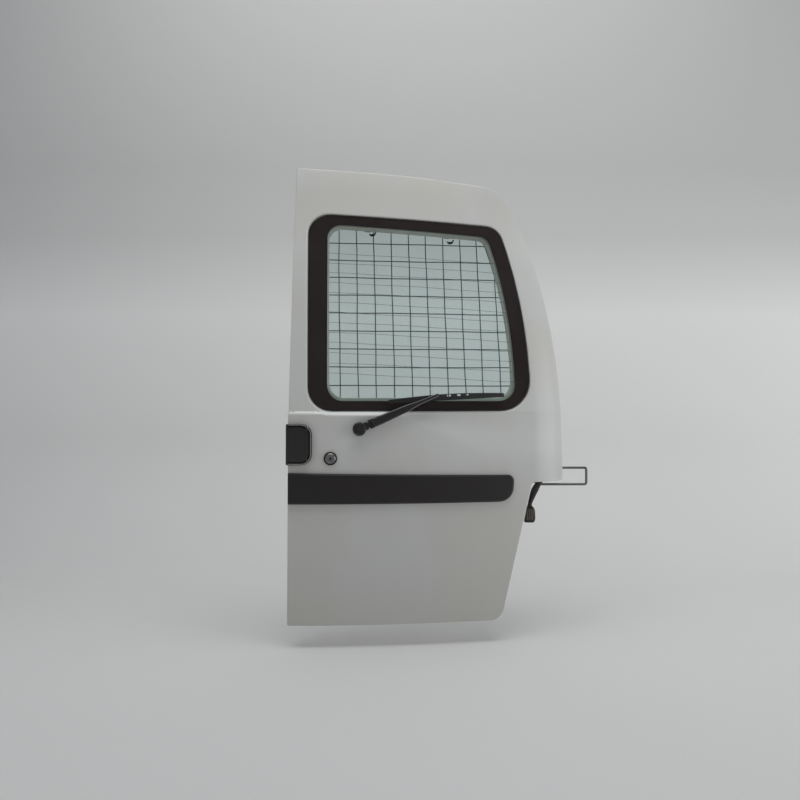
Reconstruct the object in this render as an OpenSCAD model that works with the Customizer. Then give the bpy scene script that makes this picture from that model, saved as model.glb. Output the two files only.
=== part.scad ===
// Right-hand rear barn door of a small panel van: pressed steel leaf with bonded glass,
// wire guard, rear wiper, pull handle, lock, check stay and wiring gaiter.
// x runs from the closing edge to the hinge side, y from the outer skin into the van, z up.

/* [Leaf] */
// Height at the closing edge
door_h = 1255; // [1240:1:1285]
// Width over the side lobe
door_w = 752; // [742:1:770]
// How far the foot's sharp corner sits in from the lobe's edge
foot_cut = 185; // [177:1:197]
// How far the lower panel's corner under the lobe sits in from the lobe's edge
waist_cut = 97; // [90:1:104]
// Height of the lobe's lower edge
lobe_z = 366; // [360:1:372]
// Drop from the top to the sharp shoulder corner
shoulder_drop = 52; // [45:1:59]
// Depth from the skin to the inside face
door_t = 52; // [50:1:58]
// Thickness of the outer skin
skin_t = 1.2; // [0.8:0.1:1.6]
// Thickness of the inner pressing
sheet_t = 1.5; // [1:0.1:2]

/* [Skin shape] */
// Height of the crease under the window
crease_z = 545; // [540:1:550]
// Set-back above the crease
crease_d = 13; // [10:0.5:15]
// Lean of the lower panel, in degrees
low_lean = 1.6; // [1:0.1:2]
// Lean of the upper panel just above the crease, in degrees
up_lean = 9.4; // [9:0.1:10]
// Radius of the upper panel, seen from the side
side_r = 5800; // [5000:100:7000]
// Radius of the whole leaf, seen from above
crown_r = 3000; // [2800:50:3400]
// Width of the corner wrap on the hinge side
wrap_w = 90; // [80:1:96]
// Radius of the corner wrap
wrap_r = 120; // [112:1:140]

/* [Window] */
// Left edge of the glass at its foot
glass_x0 = 51; // [48:1:54]
// Foot of the glass
glass_z0 = 560.5; // [558:0.5:563]
// Distance from the top of the leaf to the top of the glass at its left corner
glass_top = 141; // [137:1:151]
// Distance from the lobe's edge to the widest point of the glass
glass_side = 98; // [94:1:104]
// Thickness of the glass
glass_t = 4; // [3:0.5:5]
// Width of the printed border at the top
border_w = 31; // [28:1:34]
// Width of the printed border at the foot
border_foot = 26.5; // [25:0.5:29]
// Width of the printed border at the sides
border_side = 50; // [44:1:54]

/* [Guard] */
// Spacing of the upright wires
guard_pitch_u = 50.2; // [48:0.2:52]
// Spacing of the level wires
guard_pitch_v = 52.5; // [50:0.5:54]
// Wire diameter
guard_wire = 3.2; // [2.5:0.1:4]

/* [Rubbing strip] */
// Foot of the strip
strip_z = 316.5; // [306:0.5:325]
// Height of the strip at the closing edge
strip_h = 81.5; // [76:0.5:85]
// Length of the strip
strip_l = 607; // [580:1:612]
// How far the strip stands off the skin
strip_t = 11; // [8:0.5:14]

/* [Handle and lock] */
// Height of the handle's middle
handle_z = 473; // [470:1:477]
// Width of the handle bezel
handle_w = 70; // [66:1:74]
// Height of the handle bezel
handle_h = 108; // [102:1:112]
// Radius of the handle's pin
handle_pin_r = 2; // [1.5:0.1:2.5]
// Distance of the lock from the closing edge
lock_x = 112; // [106:1:120]
// Height of the lock
lock_z = 436; // [430:1:440]
// Radius of the lock's ring
lock_r = 17.5; // [16:0.5:19]
// Radius of the lock's plug
plug_r = 11; // [9:0.5:12]

/* [Wiper] */
// Distance of the wiper spindle from the closing edge
wiper_x = 187; // [182:1:192]
// Height of the wiper spindle
wiper_z = 511.5; // [509:0.5:514]
// Radius of the spindle
spindle_r = 5; // [4:0.5:6]
// Radius of the wiper's cap
cap_r = 18; // [16:0.5:20]
// Length of the arm from the spindle to the blade's hook
arm_l = 228; // [222:1:232]
// Gap between the blade's lip and the glass
lip_gap = 3; // [2.5:0.5:5]

/* [Hinge side] */
// Height of the upper hinge box
hinge_z1 = 780; // [770:1:800]
// Height of the lower hinge box
hinge_z0 = 440; // [436:1:450]
// Spacing of the two bolts of a hinge
bolt_pitch = 60; // [50:1:64]
// Radius of a hinge bolt hole
bolt_r = 4.25; // [3.5:0.25:5]
// Diameter of the check stay's rod
stay_d = 6.5; // [6:0.25:8]
// Length of the check stay
stay_l = 160; // [140:1:180]
// Height of the check stay
stay_h = 47; // [42:1:52]

/* [Hidden] */

white = [0.86, 0.86, 0.83];
grey_white = [0.78, 0.78, 0.75];
black = [0.07, 0.07, 0.08];
dark_rubber = [0.1, 0.09, 0.08];
steel = [0.6, 0.62, 0.64];
zinc = [0.7, 0.68, 0.55];

foot_w = door_w - foot_cut;
waist_w = door_w - waist_cut;
shoulder_z = door_h - shoulder_drop;
glass_z1 = door_h - glass_top;
glass_w = door_w - glass_side;

gap = 0.3;
reach = 520;
margin = 12;
crease_h = 21;
edge_z = 480;
edge_k = 7.45e-5;
edge_p = 2.2;
corner_r = 5;
foot_r = 35;
shoulder_r = 110;
top_mid_x = 330;
top_bow = 2.5;
top_r = 4000;
hem_w = 16;
lobe_inset = 52;

// Form of the leaf: side profile, crown seen from above and the wrap round the body's corner
function smooth(t) = t * t * (3 - 2 * t);
function clamp01(t) = min(1, max(0, t));
function edge_x(z) = door_w - edge_k * pow(max(0, z - edge_z), edge_p);
function edge_slope(z) = edge_k * edge_p * pow(max(0, z - edge_z), edge_p - 1);
function crown(x) = crown_r - sqrt(crown_r * crown_r - x * x);
function wrap_in(x, z) = (x - edge_x(z)) / norm([1, edge_slope(z)]) + wrap_w;
function wrap(x, z) = let (t = min(max(0, wrap_in(x, z)), wrap_r - 6)) wrap_r - sqrt(wrap_r * wrap_r - t * t);
function lower(z) = min(z, crease_z) * tan(low_lean);
function upper(z) = let (u = max(0, z - crease_z - crease_h)) u * tan(up_lean) + u * u / (2 * side_r);
function skin_y(x, z) =
  lower(z) + crease_d * smooth(clamp01((z - crease_z) / crease_h)) + upper(z) + crown(x) + wrap(x, z);
function yaw_at(x) = asin(x / crown_r);

// Outline helpers: each corner is [x, z, radius]
function unit(v) = v / norm(v);
function xz(v) = [v[0], v[1]];
function corner(a, b, c, r, n) = r <= 0 ? [b] :
  let (u = unit(a - b), v = unit(c - b), half = acos(u * v) / 2, t = r / tan(half),
    m = b + unit(u + v) * r / sin(half), p = b + u * t - m, q = b + v * t - m,
    s = atan2(p[1], p[0]), d = ((atan2(q[1], q[0]) - s + 540) % 360) - 180)
  [for (i = [0:n]) m + r * [cos(s + d * i / n), sin(s + d * i / n)]];
function rounded(v, n = 5) = [for (i = [0:len(v) - 1]) let (k = len(v)) each
  corner(xz(v[(i + k - 1) % k]), xz(v[i]), xz(v[(i + 1) % k]), v[i][2], n)];
function steps(a, b, n) = [for (i = [0:n]) a + (b - a) * i / n];

// The leaf's outline, drawn in by i all round and by side on the lobe
function leaf_pts(i = 0, side = 0) = rounded(concat(
  [[i, i, corner_r], [foot_w - i, i, foot_r], [waist_w - i, lobe_z + i, 12], [door_w - side, lobe_z + i, 6]],
  [for (z = steps(edge_z, shoulder_z - 113, 8)) [edge_x(z) - side, z, 0]],
  [[edge_x(shoulder_z) - side, shoulder_z - i, shoulder_r - side],
   [top_mid_x, (door_h - i + shoulder_z - i) / 2 + top_bow, top_r], [i, door_h - i, corner_r + 3]]));

glass_k = 2.013e-4;
glass_p = 2.08;
glass_zr = 600;
glass_lean = 13;
glass_drop = 28.5;
function glass_x(z) = glass_w - glass_k * pow(max(0, z - glass_zr), glass_p);

// The window's outline, drawn in by l, t, r and b at its left, top, right and foot
function window_pts(l, t, r, b, soft = 0) = let (zr = glass_z1 - glass_drop - t) rounded(concat(
  [[glass_x0 + l, glass_z0 + b, 65 - soft], [glass_x(glass_z0 + b) - r, glass_z0 + b, 85 - 1.8 * soft]],
  [for (z = steps(glass_z0 + b + 95, zr - 75, 5)) [glass_x(z) - r, z, 0]],
  [[glass_x(zr) - r, zr, 55 - soft], [glass_x0 - glass_lean + 1.08 * l, glass_z1 - t, 58 - soft]]));
function window_in(d, soft = 0) = window_pts(d, d, d, d, soft);
function window_border_in(e = 0) =
  window_pts(border_side + e, border_w + e, border_side - 2 + e, border_foot + e, 22);

// The aperture of the pressed frame: inside the border at the foot and hinge side, behind its edge at the others
aperture_e = 10;
aperture_left = 9;
aperture_top = 7;
function aperture_in(e = 0) = window_pts(border_side + aperture_e - aperture_left + e,
  border_w + aperture_e - aperture_top + e, border_side - 2 + aperture_e + e, border_foot + aperture_e + e, 22);

// Grid that every curved sheet shares, so that they nest; its columns follow the hinge-side edge
flat_w = door_w - wrap_w;
grid_c = concat(steps(-margin, flat_w, 10), steps(flat_w + 15, door_w + margin, 6));
grid_z = concat(steps(-margin, crease_z - 12, 4), steps(crease_z, crease_z + crease_h, 3),
  steps(crease_z + crease_h + 60, door_h - 255, 6), steps(door_h - 205, door_h + margin, 4));
function col_x(c, z) = c < flat_w ? c * (edge_x(z) - wrap_w) / flat_w : c - door_w + edge_x(z);
function near(v, lo, hi) = let (last = len(v) - 1)
  [for (i = [0:last]) if (v[min(i + 1, last)] >= lo && v[max(i - 1, 0)] <= hi) v[i]];

// Sheet of the leaf's own form, from depth a to depth b behind the skin's face
module leaf_sheet(a, b, gc = grid_c, gz = grid_z) {
  w = len(gc);
  h = len(gz);
  n = w * h;
  points = [for (d = [a, b]) for (z = gz) for (c = gc) let (x = col_x(c, z)) [x, skin_y(x, z) + d, z]];
  front = [for (i = [0:h - 2]) for (j = [0:w - 2]) let (k = i * w + j)
    each [[k, k + w + 1, k + 1], [k, k + w, k + w + 1]]];
  back = [for (f = front) [f[0] + n, f[2] + n, f[1] + n]];
  rim = concat([for (j = [0:w - 2]) [j, j + 1]], [for (i = [0:h - 2]) [i * w + w - 1, i * w + 2 * w - 1]],
    [for (j = [w - 1:-1:1]) [n - w + j, n - w + j - 1]], [for (i = [h - 1:-1:1]) [i * w, i * w - w]]);
  edge = [for (e = rim) each [[e[0], e[1], e[1] + n], [e[0], e[1] + n, e[0] + n]]];
  polyhedron(points = points, faces = concat(front, back, edge));
}
module through(pts, y0 = -60, y1 = reach)
  translate([0, y1, 0]) rotate([90, 0, 0]) linear_extrude(height = y1 - y0) polygon(pts);
module pressed(a, b, pts) intersection() {
  leaf_sheet(a, b);
  through(pts);
}
module pressed_ring(a, b, outer, inner, gc = grid_c, gz = grid_z) intersection() {
  leaf_sheet(a, b, gc, gz);
  difference() {
    through(outer);
    through(inner, -70, reach + 10);
  }
}

// Rings of points joined into one closed tube
module ringed(rings) {
  k = len(rings[0]);
  n = len(rings);
  sides = [for (i = [0:n - 2]) for (j = [0:k - 1]) let (a = i * k + j, b = i * k + (j + 1) % k)
    each [[a, b, b + k], [a, b + k, a + k]]];
  first = [for (j = [k - 1:-1:0]) j];
  last = [for (j = [0:k - 1]) (n - 1) * k + j];
  polyhedron(points = [for (r = rings) each r], faces = concat(sides, [first], [last]));
}

// Seat on the skin: the local -y axis is the outward normal of the lower or upper panel
module on_skin(x, z, lean = low_lean, yaw = undef)
  translate([x, skin_y(x, z), z]) rotate([0, 0, is_undef(yaw) ? yaw_at(x) : yaw]) rotate([-lean, 0, 0]) children();
module drum(r, y0, y1) translate([0, y1, 0]) rotate([90, 0, 0]) cylinder(r = r, h = y1 - y0);
module block(x0, x1, y0, y1, z0, z1) translate([x0, y0, z0]) cube([x1 - x0, y1 - y0, z1 - z0]);
module plate(pts, y0, y1) translate([0, y1, 0]) rotate([90, 0, 0]) linear_extrude(height = y1 - y0) polygon(pts);

// The row's origin is the middle of the upper hinge box's face
inner_in = hem_w;
box_w = 26;
box_inset = 15;
box_face = door_w - lobe_inset + 8;
function box_y(z) = skin_y(box_face, z) + door_t - box_inset;
origin = [box_face, box_y(hinge_z1), hinge_z1];
module seated() translate(-origin) children();

// Outer pressing
handle_cut = rounded([[-20, handle_z - 42, 0], [44, handle_z - 42, 8], [44, handle_z + 42, 8], [-20, handle_z + 42, 0]]);
lock_bore = 13.5;
wiper_yaw = 6.5;
wiper_tilt = 9;
bush_r = 9;
module outer_skin() color(white) seated() difference() {
  pressed(0, skin_t, leaf_pts());
  through(window_in(-4));
  through(handle_cut);
  on_skin(lock_x, lock_z) drum(lock_bore, -20, 20);
  on_skin(wiper_x, wiper_z, wiper_tilt, wiper_yaw) drum(bush_r + gap, -30, 30);
}

// Inner pressing: a pan whose flange backs the skin all round
frame_out = 6;
access_z0 = 60;
access_z1 = lobe_z - 66;
access_x = [70, 250, foot_w - 42, foot_w - 7];
web = 50;
access = [
  rounded([[access_x[0], access_z0, 30], [access_x[1], access_z0, 30], [access_x[1] + 20, access_z1, 30],
    [access_x[0], access_z1, 30]]),
  rounded([[access_x[1] + web, access_z0, 30], [access_x[2], access_z0, 40], [access_x[3], access_z1 - web, 40],
    [access_x[3], access_z1, 20], [access_x[1] + web + 20, access_z1, 30]]),
  rounded([[lock_x + 8, access_z1 + web, 25], [foot_w - 137, access_z1 + web, 25], [foot_w - 137, wiper_z - 1, 40],
    [lock_x + 8, wiper_z - 1, 25]])];
latch_slot_h = 44;
module inner_panel() color(grey_white) seated() union() {
  difference() {
    pressed(skin_t + gap, door_t, leaf_pts(inner_in, lobe_inset));
    intersection() {
      leaf_sheet(-4, door_t - sheet_t);
      through(leaf_pts(inner_in + sheet_t, lobe_inset + sheet_t));
    }
    through(aperture_in(-sheet_t - gap));
    for (a = access) through(a);
    block(-10, 30, skin_y(0, handle_z) + 20, skin_y(0, handle_z) + 40, handle_z - latch_slot_h / 2,
      handle_z + latch_slot_h / 2);
  }
  pressed_ring(skin_t + gap, skin_t + gap + 1.2, leaf_pts(3, 3), leaf_pts(inner_in + 1, lobe_inset + 1));
}

// Window: pressed frame, adhesive bead, printed border and glass
glass_set = 0.5;
frame_y = glass_set + glass_t + 4;
win_gc = near(grid_c, glass_x0 - 20, 690);
win_gz = near(grid_z, glass_z0 - 12, glass_z1 + 12);
module window_frame() color(grey_white) seated() union() {
  pressed_ring(frame_y, frame_y + sheet_t, window_in(-frame_out), aperture_in(), win_gc, win_gz);
  pressed_ring(frame_y, door_t, aperture_in(-sheet_t), aperture_in(), win_gc, win_gz);
  pressed_ring(skin_t + gap, frame_y + sheet_t, window_in(-frame_out), window_in(-frame_out + sheet_t), win_gc, win_gz);
}
module window_glass() color([0.55, 0.68, 0.62, 0.35]) seated() intersection() {
  leaf_sheet(glass_set, glass_set + glass_t, win_gc, win_gz);
  through(window_in(0));
}
module window_border() color(black) seated()
  pressed_ring(glass_set + glass_t + 0.1, glass_set + glass_t + 0.7, window_in(0.5), window_border_in(), win_gc, win_gz);
module window_bond() color(dark_rubber) seated()
  pressed_ring(glass_set + glass_t + 1, frame_y - gap, window_in(8), window_in(20), win_gc, win_gz);

// Wire guard, flat, on the inside face round the window
guard_x0 = glass_x0 + border_side;
guard_x1 = glass_w - 54;
guard_z0 = glass_z0 + border_foot;
guard_z1 = glass_z1 - 44;
guard_mid_x = (guard_x0 + guard_x1) / 2;
guard_mid_z = (guard_z0 + guard_z1) / 2;
guard_yaw = atan((skin_y(guard_x1, guard_mid_z) - skin_y(guard_x0, guard_mid_z)) / (guard_x1 - guard_x0));
guard_tilt = atan((skin_y(guard_mid_x, guard_z1) - skin_y(guard_mid_x, guard_z0)) / (guard_z1 - guard_z0));
guard_at = [guard_x0, skin_y(guard_x0, guard_z0) + door_t + 2.5, guard_z0];
guard_bar = 6;
guard_lap = 14;
wire_u0 = 30.5;
wire_v0 = 44.5;
wire_l = guard_x1 - guard_x0 + 137;
function guard_uv(p) = [(p[0] - guard_x0) / cos(guard_yaw), (p[1] - guard_z0) / cos(guard_tilt)];
function guard_frame(d) = [for (p = aperture_in(d - guard_lap)) guard_uv(p)];
module in_guard() translate(guard_at) rotate([0, 0, guard_yaw]) rotate([-guard_tilt, 0, 0]) children();
module wire_guard() color(steel) seated() in_guard() union() {
  difference() {
    plate(guard_frame(0), 0, guard_bar);
    plate(guard_frame(guard_bar), -1, guard_bar + 1);
  }
  intersection() {
    plate(guard_frame(1), -4, 20);
    union() {
      for (i = [0:9]) translate([wire_u0 + i * guard_pitch_u, guard_wire / 2 + 0.6, -60])
        cylinder(d = guard_wire, h = wire_l, $fn = 6);
      for (i = [0:8]) translate([-60, guard_wire * 1.4 + 0.6, wire_v0 + i * guard_pitch_v]) rotate([0, 90, 0])
        cylinder(d = guard_wire, h = wire_l, $fn = 6);
    }
  }
}

// Clips that hold the guard to the inner pressing: a foot on the panel, a leg and a lip over the bar
clip_w = 18;
clip_t = 2;
clip_at = [[215, 1], [446, 1], [215, -1], [446, -1]];
function guard_top(x) = glass_z1 - border_w - aperture_e + aperture_top + guard_lap
  - glass_drop * (x - glass_x0 - border_side + glass_lean) / 490;
guard_foot = guard_z0 + aperture_e - guard_lap;
function clip_edge(c) = c[1] > 0 ? guard_top(c[0]) : guard_foot;
module clip_block(c, y0, y1, d0, d1) {
  uv = guard_uv([c[0], clip_edge(c)]);
  a = uv[1] + c[1] * d0;
  b = uv[1] + c[1] * d1;
  block(uv[0] - clip_w / 2, uv[0] + clip_w / 2, y0, y1, min(a, b), max(a, b));
}
module guard_clips() color(black) seated() union() {
  in_guard() for (c = clip_at) clip_block(c, guard_bar + gap, guard_bar + gap + clip_t, -9, 3 + clip_t);
  intersection() {
    leaf_sheet(door_t + gap, door_t + 60, win_gc, win_gz);
    in_guard() for (c = clip_at) clip_block(c, -30, guard_bar + gap + clip_t, 3, 3 + clip_t);
  }
  intersection() {
    leaf_sheet(door_t + gap, door_t + gap + clip_t, win_gc, win_gz);
    in_guard() for (c = clip_at) clip_block(c, -30, guard_bar, 3, 24);
  }
}

// Rubbing strip, a moulding with round edges and a round hinge-side end
strip_taper = 10;
strip_tip = 34;
function strip_half(x) = (strip_h - strip_taper * x / strip_l) / 2;
module rubbing_strip() color(black) seated() {
  tip = [for (a = steps(0, 80, 5)) [strip_l - strip_tip + strip_tip * sin(a), cos(a)]];
  stations = concat([for (x = steps(1, strip_l - strip_tip, 14)) [x, 1]], tip);
  ringed([for (s = stations) let (x = s[0], h = strip_half(x) * s[1], m = strip_z + strip_half(x),
    t = strip_t * (0.25 + 0.75 * s[1]))
    [for (q = [[-1, 0], [-1, 0.55], [-0.93, 0.85], [-0.8, 1], [0.8, 1], [0.93, 0.85], [1, 0.55], [1, 0]])
      [x, skin_y(x, m + q[0] * h) - gap - q[1] * t, m + q[0] * h]]]);
}

// Pull handle on the closing edge
rim_t = 14;
rim_w = 6;
pin_at = [handle_w - 18, -8.5];
handle_out = 3.6;
bezel_x1 = handle_w - 6;
bezel_pts = rounded([[-handle_out, -handle_h / 2, 4], [bezel_x1, -handle_h / 2, 29], [bezel_x1, handle_h / 2, 29],
  [-handle_out, handle_h / 2, 4]]);
bezel_in = rounded([[-9, -handle_h / 2 + rim_w, 0], [bezel_x1 - rim_w + 2, -handle_h / 2 + rim_w, 24],
  [bezel_x1 - rim_w + 2, handle_h / 2 - rim_w, 24], [-9, handle_h / 2 - rim_w, 0]]);
module handle_bezel() color(black) seated() on_skin(0, handle_z) difference() {
  union() {
    plate(bezel_pts, -2.3, -gap);
    difference() {
      plate(bezel_pts, -rim_t, -2);
      plate(bezel_in, -rim_t - 1, -2.3);
    }
    block(20, 40, -1, 13, -36, 36);
  }
  block(-9, 0.6, -2.5, 1, -flap_h - 0.5, flap_h + 0.5);
  translate([pin_at[0], pin_at[1], -handle_h]) cylinder(r = handle_pin_r, h = handle_h * 2);
  block(24, 36, 2, 20, -32, 32);
}
module handle_pin() color(steel) seated() on_skin(0, handle_z)
  translate([pin_at[0], pin_at[1], -handle_h / 2 + 1.5]) cylinder(r = handle_pin_r - 0.05, h = handle_h - 3);
flap_h = handle_h / 2 - rim_w - 1;
flap_pts = rounded([[-handle_out, -flap_h, 3], [pin_at[0] + 5.5, -flap_h, 22], [pin_at[0] + 5.5, flap_h, 22],
  [-handle_out, flap_h, 3]]);
module handle_flap() color(black) seated() on_skin(0, handle_z) difference() {
  intersection() {
    union() {
      translate([pin_at[0], pin_at[1], -flap_h]) cylinder(r = 5, h = 2 * flap_h);
      block(-7, pin_at[0], -rim_t + 0.5, pin_at[1] + 5, -flap_h, flap_h);
      block(-7, -handle_out + 2.8, -rim_t + 0.5, 8, -flap_h + 6, flap_h - 6);
    }
    plate(flap_pts, -rim_t - 1, 9);
  }
  translate([pin_at[0], pin_at[1], -flap_h - 1]) cylinder(r = handle_pin_r + 0.02, h = 2 * flap_h + 2);
}

// Lock
lock_deep = 34;
module lock_housing() color(steel) seated() on_skin(lock_x, lock_z) {
  difference() {
    union() {
      drum(lock_r, -5, -gap);
      drum(lock_bore - gap, -1, lock_deep);
    }
    drum(plug_r + 0.05, -6, lock_deep - 4);
    drum(plug_r + 2, -6, -3);
  }
}
module lock_plug() color([0.2, 0.2, 0.2]) seated() on_skin(lock_x, lock_z) difference() {
  drum(plug_r, -3.5, lock_deep - 4.5);
  block(-1.2, 1.2, -4, 6, -4, 4);
}

// Latch inside the closing edge
latch_y = 30;
latch_x1 = 62;
module latch_case() color(zinc) seated() translate([0, skin_y(0, handle_z) + latch_y, handle_z]) difference() {
  block(inner_in + sheet_t + gap, latch_x1, -14, 14, -38, 38);
  block(0, 50, -8, 8, -20, 20);
}
module latch_claw() color(steel) seated() translate([0, skin_y(0, handle_z) + latch_y, handle_z]) difference() {
  block(inner_in - 2, 49.7, -5, 5, -19, 19);
  block(0, 34, -6, 6, -6, 8);
}
lever_y = skin_y(lock_x, lock_z) + lock_deep + 1;
module latch_rod() color(zinc) seated() union() {
  translate([latch_x1 + gap, lever_y + 1.5, lock_z + 19]) rotate([0, 90, 0]) cylinder(d = 5, h = lock_x - latch_x1 - gap);
  plate(rounded([for (c = [[-7, -8], [7, -8], [7, 24], [-7, 24]]) [lock_x + c[0], lock_z + c[1], 5]]), lever_y, lever_y + 3);
}

// Rear wiper
arm_dir = 23;
head_y = -24;
knuckle_x = 34;
knuckle_y = -17;
knuckle_r = 2;
module in_wiper() on_skin(wiper_x, wiper_z, wiper_tilt, wiper_yaw) children();
module wiper_bush() color(dark_rubber) seated() in_wiper() difference() {
  union() {
    drum(16, -6.4, -2.5);
    drum(bush_r, -3, 40);
  }
  drum(spindle_r + 0.05, -7, 41);
}
module wiper_spindle() color(steel) seated() in_wiper() drum(spindle_r, head_y + 6, 52);
module wiper_cap() color(black) seated() in_wiper() difference() {
  union() {
    drum(cap_r, head_y, -8);
    drum(cap_r - 4, head_y - 4, head_y);
    rotate([0, -arm_dir, 0]) block(0, 33, knuckle_y - 3, -10, -7, 7);
    rotate([0, -arm_dir, 0]) translate([knuckle_x, knuckle_y, -7]) cylinder(r = 6, h = 14);
  }
  drum(spindle_r + gap / 3, head_y + 5, 0);
  rotate([0, -arm_dir, 0]) translate([knuckle_x, knuckle_y, -20]) cylinder(r = knuckle_r + 0.05, h = 40);
}
module wiper_knuckle_pin() color(steel) seated() in_wiper() rotate([0, -arm_dir, 0])
  translate([knuckle_x, knuckle_y, -11.5]) cylinder(r = knuckle_r, h = 23);
arm_stations = [[28, 23, -26, -10], [60, 23, -28, -12], [100, 20.5, -29, -16], [144, 18, -30, -20.3], [172, 11, -31.5, -22.5],
  [arm_l - 8, 8, -33, -26.4], [arm_l, 7, -33, -27]];
module wiper_arm() color(black) seated() in_wiper() rotate([0, -arm_dir, 0]) difference() {
  union() {
    ringed([for (s = arm_stations)
      [for (q = [[-0.5, 1], [-0.5, 0.3], [-0.36, 0], [0.36, 0], [0.5, 0.3], [0.5, 1]])
        [s[0], s[2] + (s[3] - s[2]) * q[1], q[0] * s[1]]]]);
    translate([knuckle_x, knuckle_y, -11.9]) cylinder(r = 6.4, h = 23.8);
  }
  translate([knuckle_x, knuckle_y, -20]) cylinder(r = knuckle_r + 0.02, h = 40);
  block(20, 46, -24, 2, -7.5, 7.5);
  block(20, knuckle_x + 4, -40, 2, -7.5, 7.5);
}
blade_a = [265, 584.5];
blade_b = [577, 603.5];
function blade_at(t) = blade_a + (blade_b - blade_a) * t;
module blade(y_a, y_b, w0, w1, t0, t1, bow, n = 12) {
  ringed([for (t = steps(t0, t1, n)) let (p = blade_at(t), e = abs(2 * t - 1), w = w0 + (w1 - w0) * e)
    [for (q = [[-0.5, 1], [-0.5, 0], [0.5, 0], [0.5, 1]])
      [p[0], skin_y(p[0], p[1]) - (y_a + (y_b - y_a) * q[1]) - (1 - e * e) * bow * (1 - q[1]), p[1] + q[0] * w]]]);
}
module blade_bridge() color(black) seated() union() {
  blade(16, 9 + gap, 16, 8, 0.02, 0.98, 4);
  in_wiper() rotate([0, -arm_dir, 0]) block(186, 208, -23.4, -14, -6.5, 6.5);
}
module blade_rubber() color(dark_rubber) seated() blade(9, lip_gap, 6, 6, 0, 1, 0);
motor_y = 43;
module wiper_motor() color([0.3, 0.3, 0.32]) seated() in_wiper() difference() {
  union() {
    drum(26, 21, motor_y);
    translate([0, 27, 0]) rotate([0, 100, 0]) cylinder(r = 15.5, h = 120);
  }
  drum(bush_r + gap, 0, 60);
}
bracket_y = door_t - sheet_t - gap;
bracket_t = 2.5;
bracket_pts = rounded([for (c = [[-93, -32], [165, -32], [165, 24], [-93, 24]]) [wiper_x + c[0], wiper_z + c[1], 10]]);
motor_feet = [[-16, -16, 51], [16, -16, 51], [0, 18, 47]];
module motor_bracket() color(zinc) seated() difference() {
  union() {
    intersection() {
      leaf_sheet(bracket_y - bracket_t, bracket_y, near(grid_c, wiper_x - 97, wiper_x + 173),
        near(grid_z, wiper_z - 36, wiper_z + 29));
      through(bracket_pts);
    }
    in_wiper() for (f = motor_feet) translate([f[0], 0, f[1]]) drum(5, motor_y + gap, f[2]);
  }
  in_wiper() drum(bush_r + gap, 0, 60);
}

// Hinge boxes: the flat bolting faces of the hinge side
box_half = 45;
bolt_grip = 12;
module hinge_box(z) difference() {
  block(box_face - 50, box_face, box_y(z) - box_w / 2, box_y(z) + box_w / 2, z - box_half, z + box_half);
  for (s = [-1, 1]) translate([box_face - 60, box_y(z), z + s * bolt_pitch / 2]) rotate([0, 90, 0]) {
    cylinder(r = bolt_r, h = 70);
    cylinder(r = bolt_r + 3.5, h = 60 - bolt_grip);
  }
  through(leaf_pts(inner_in - gap, lobe_inset - gap));
}
module hinge_box_upper() color(zinc) seated() hinge_box(hinge_z1);
module hinge_box_lower() color(zinc) seated() hinge_box(hinge_z0);

// Check stay: a rod hoop in a bracket behind the lobe
stay_x = door_w - 88;
stay_z0 = lobe_z - 15;
stay_y = skin_y(stay_x + 36, stay_z0 + 49) + door_t + 14;
stay_r = stay_d / 2;
barrel_r = 8;
barrel_gap = 1;
stay_foot_t = 3;
stay_foot = rounded([for (c = [[-20, 20], [22, 20], [22, 70], [-20, 70]]) [stay_x + c[0], lobe_z + c[1], 5]]);
module stay_bracket() color(zinc) seated() difference() {
  z0 = stay_z0 + stay_r + barrel_gap;
  z1 = stay_z0 + stay_h - stay_r - barrel_gap;
  union() {
    pressed(door_t + gap, door_t + gap + stay_foot_t, stay_foot);
    intersection() {
      leaf_sheet(door_t + gap, door_t + 90, near(grid_c, stay_x - 34, stay_x + 26), near(grid_z, stay_z0 - 11, stay_z0 + 89));
      block(stay_x - 7, stay_x + 7, 0, stay_y, z0 + 3, z1 - 1);
    }
    translate([stay_x, stay_y, z0]) cylinder(r = barrel_r, h = z1 - z0);
  }
  translate([stay_x, stay_y, stay_z0]) cylinder(r = stay_r + 0.05, h = stay_h);
}
module check_stay() color(black) seated() union() {
  translate([stay_x, stay_y, stay_z0]) cylinder(d = stay_d, h = stay_h);
  for (z = [stay_z0, stay_z0 + stay_h]) translate([stay_x, stay_y, z]) {
    rotate([0, 90, 0]) cylinder(d = stay_d, h = stay_l);
    sphere(d = stay_d, $fn = 24);
    translate([stay_l, 0, 0]) sphere(d = stay_d, $fn = 24);
  }
  translate([stay_x + stay_l, stay_y, stay_z0]) cylinder(d = stay_d, h = stay_h);
}

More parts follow.
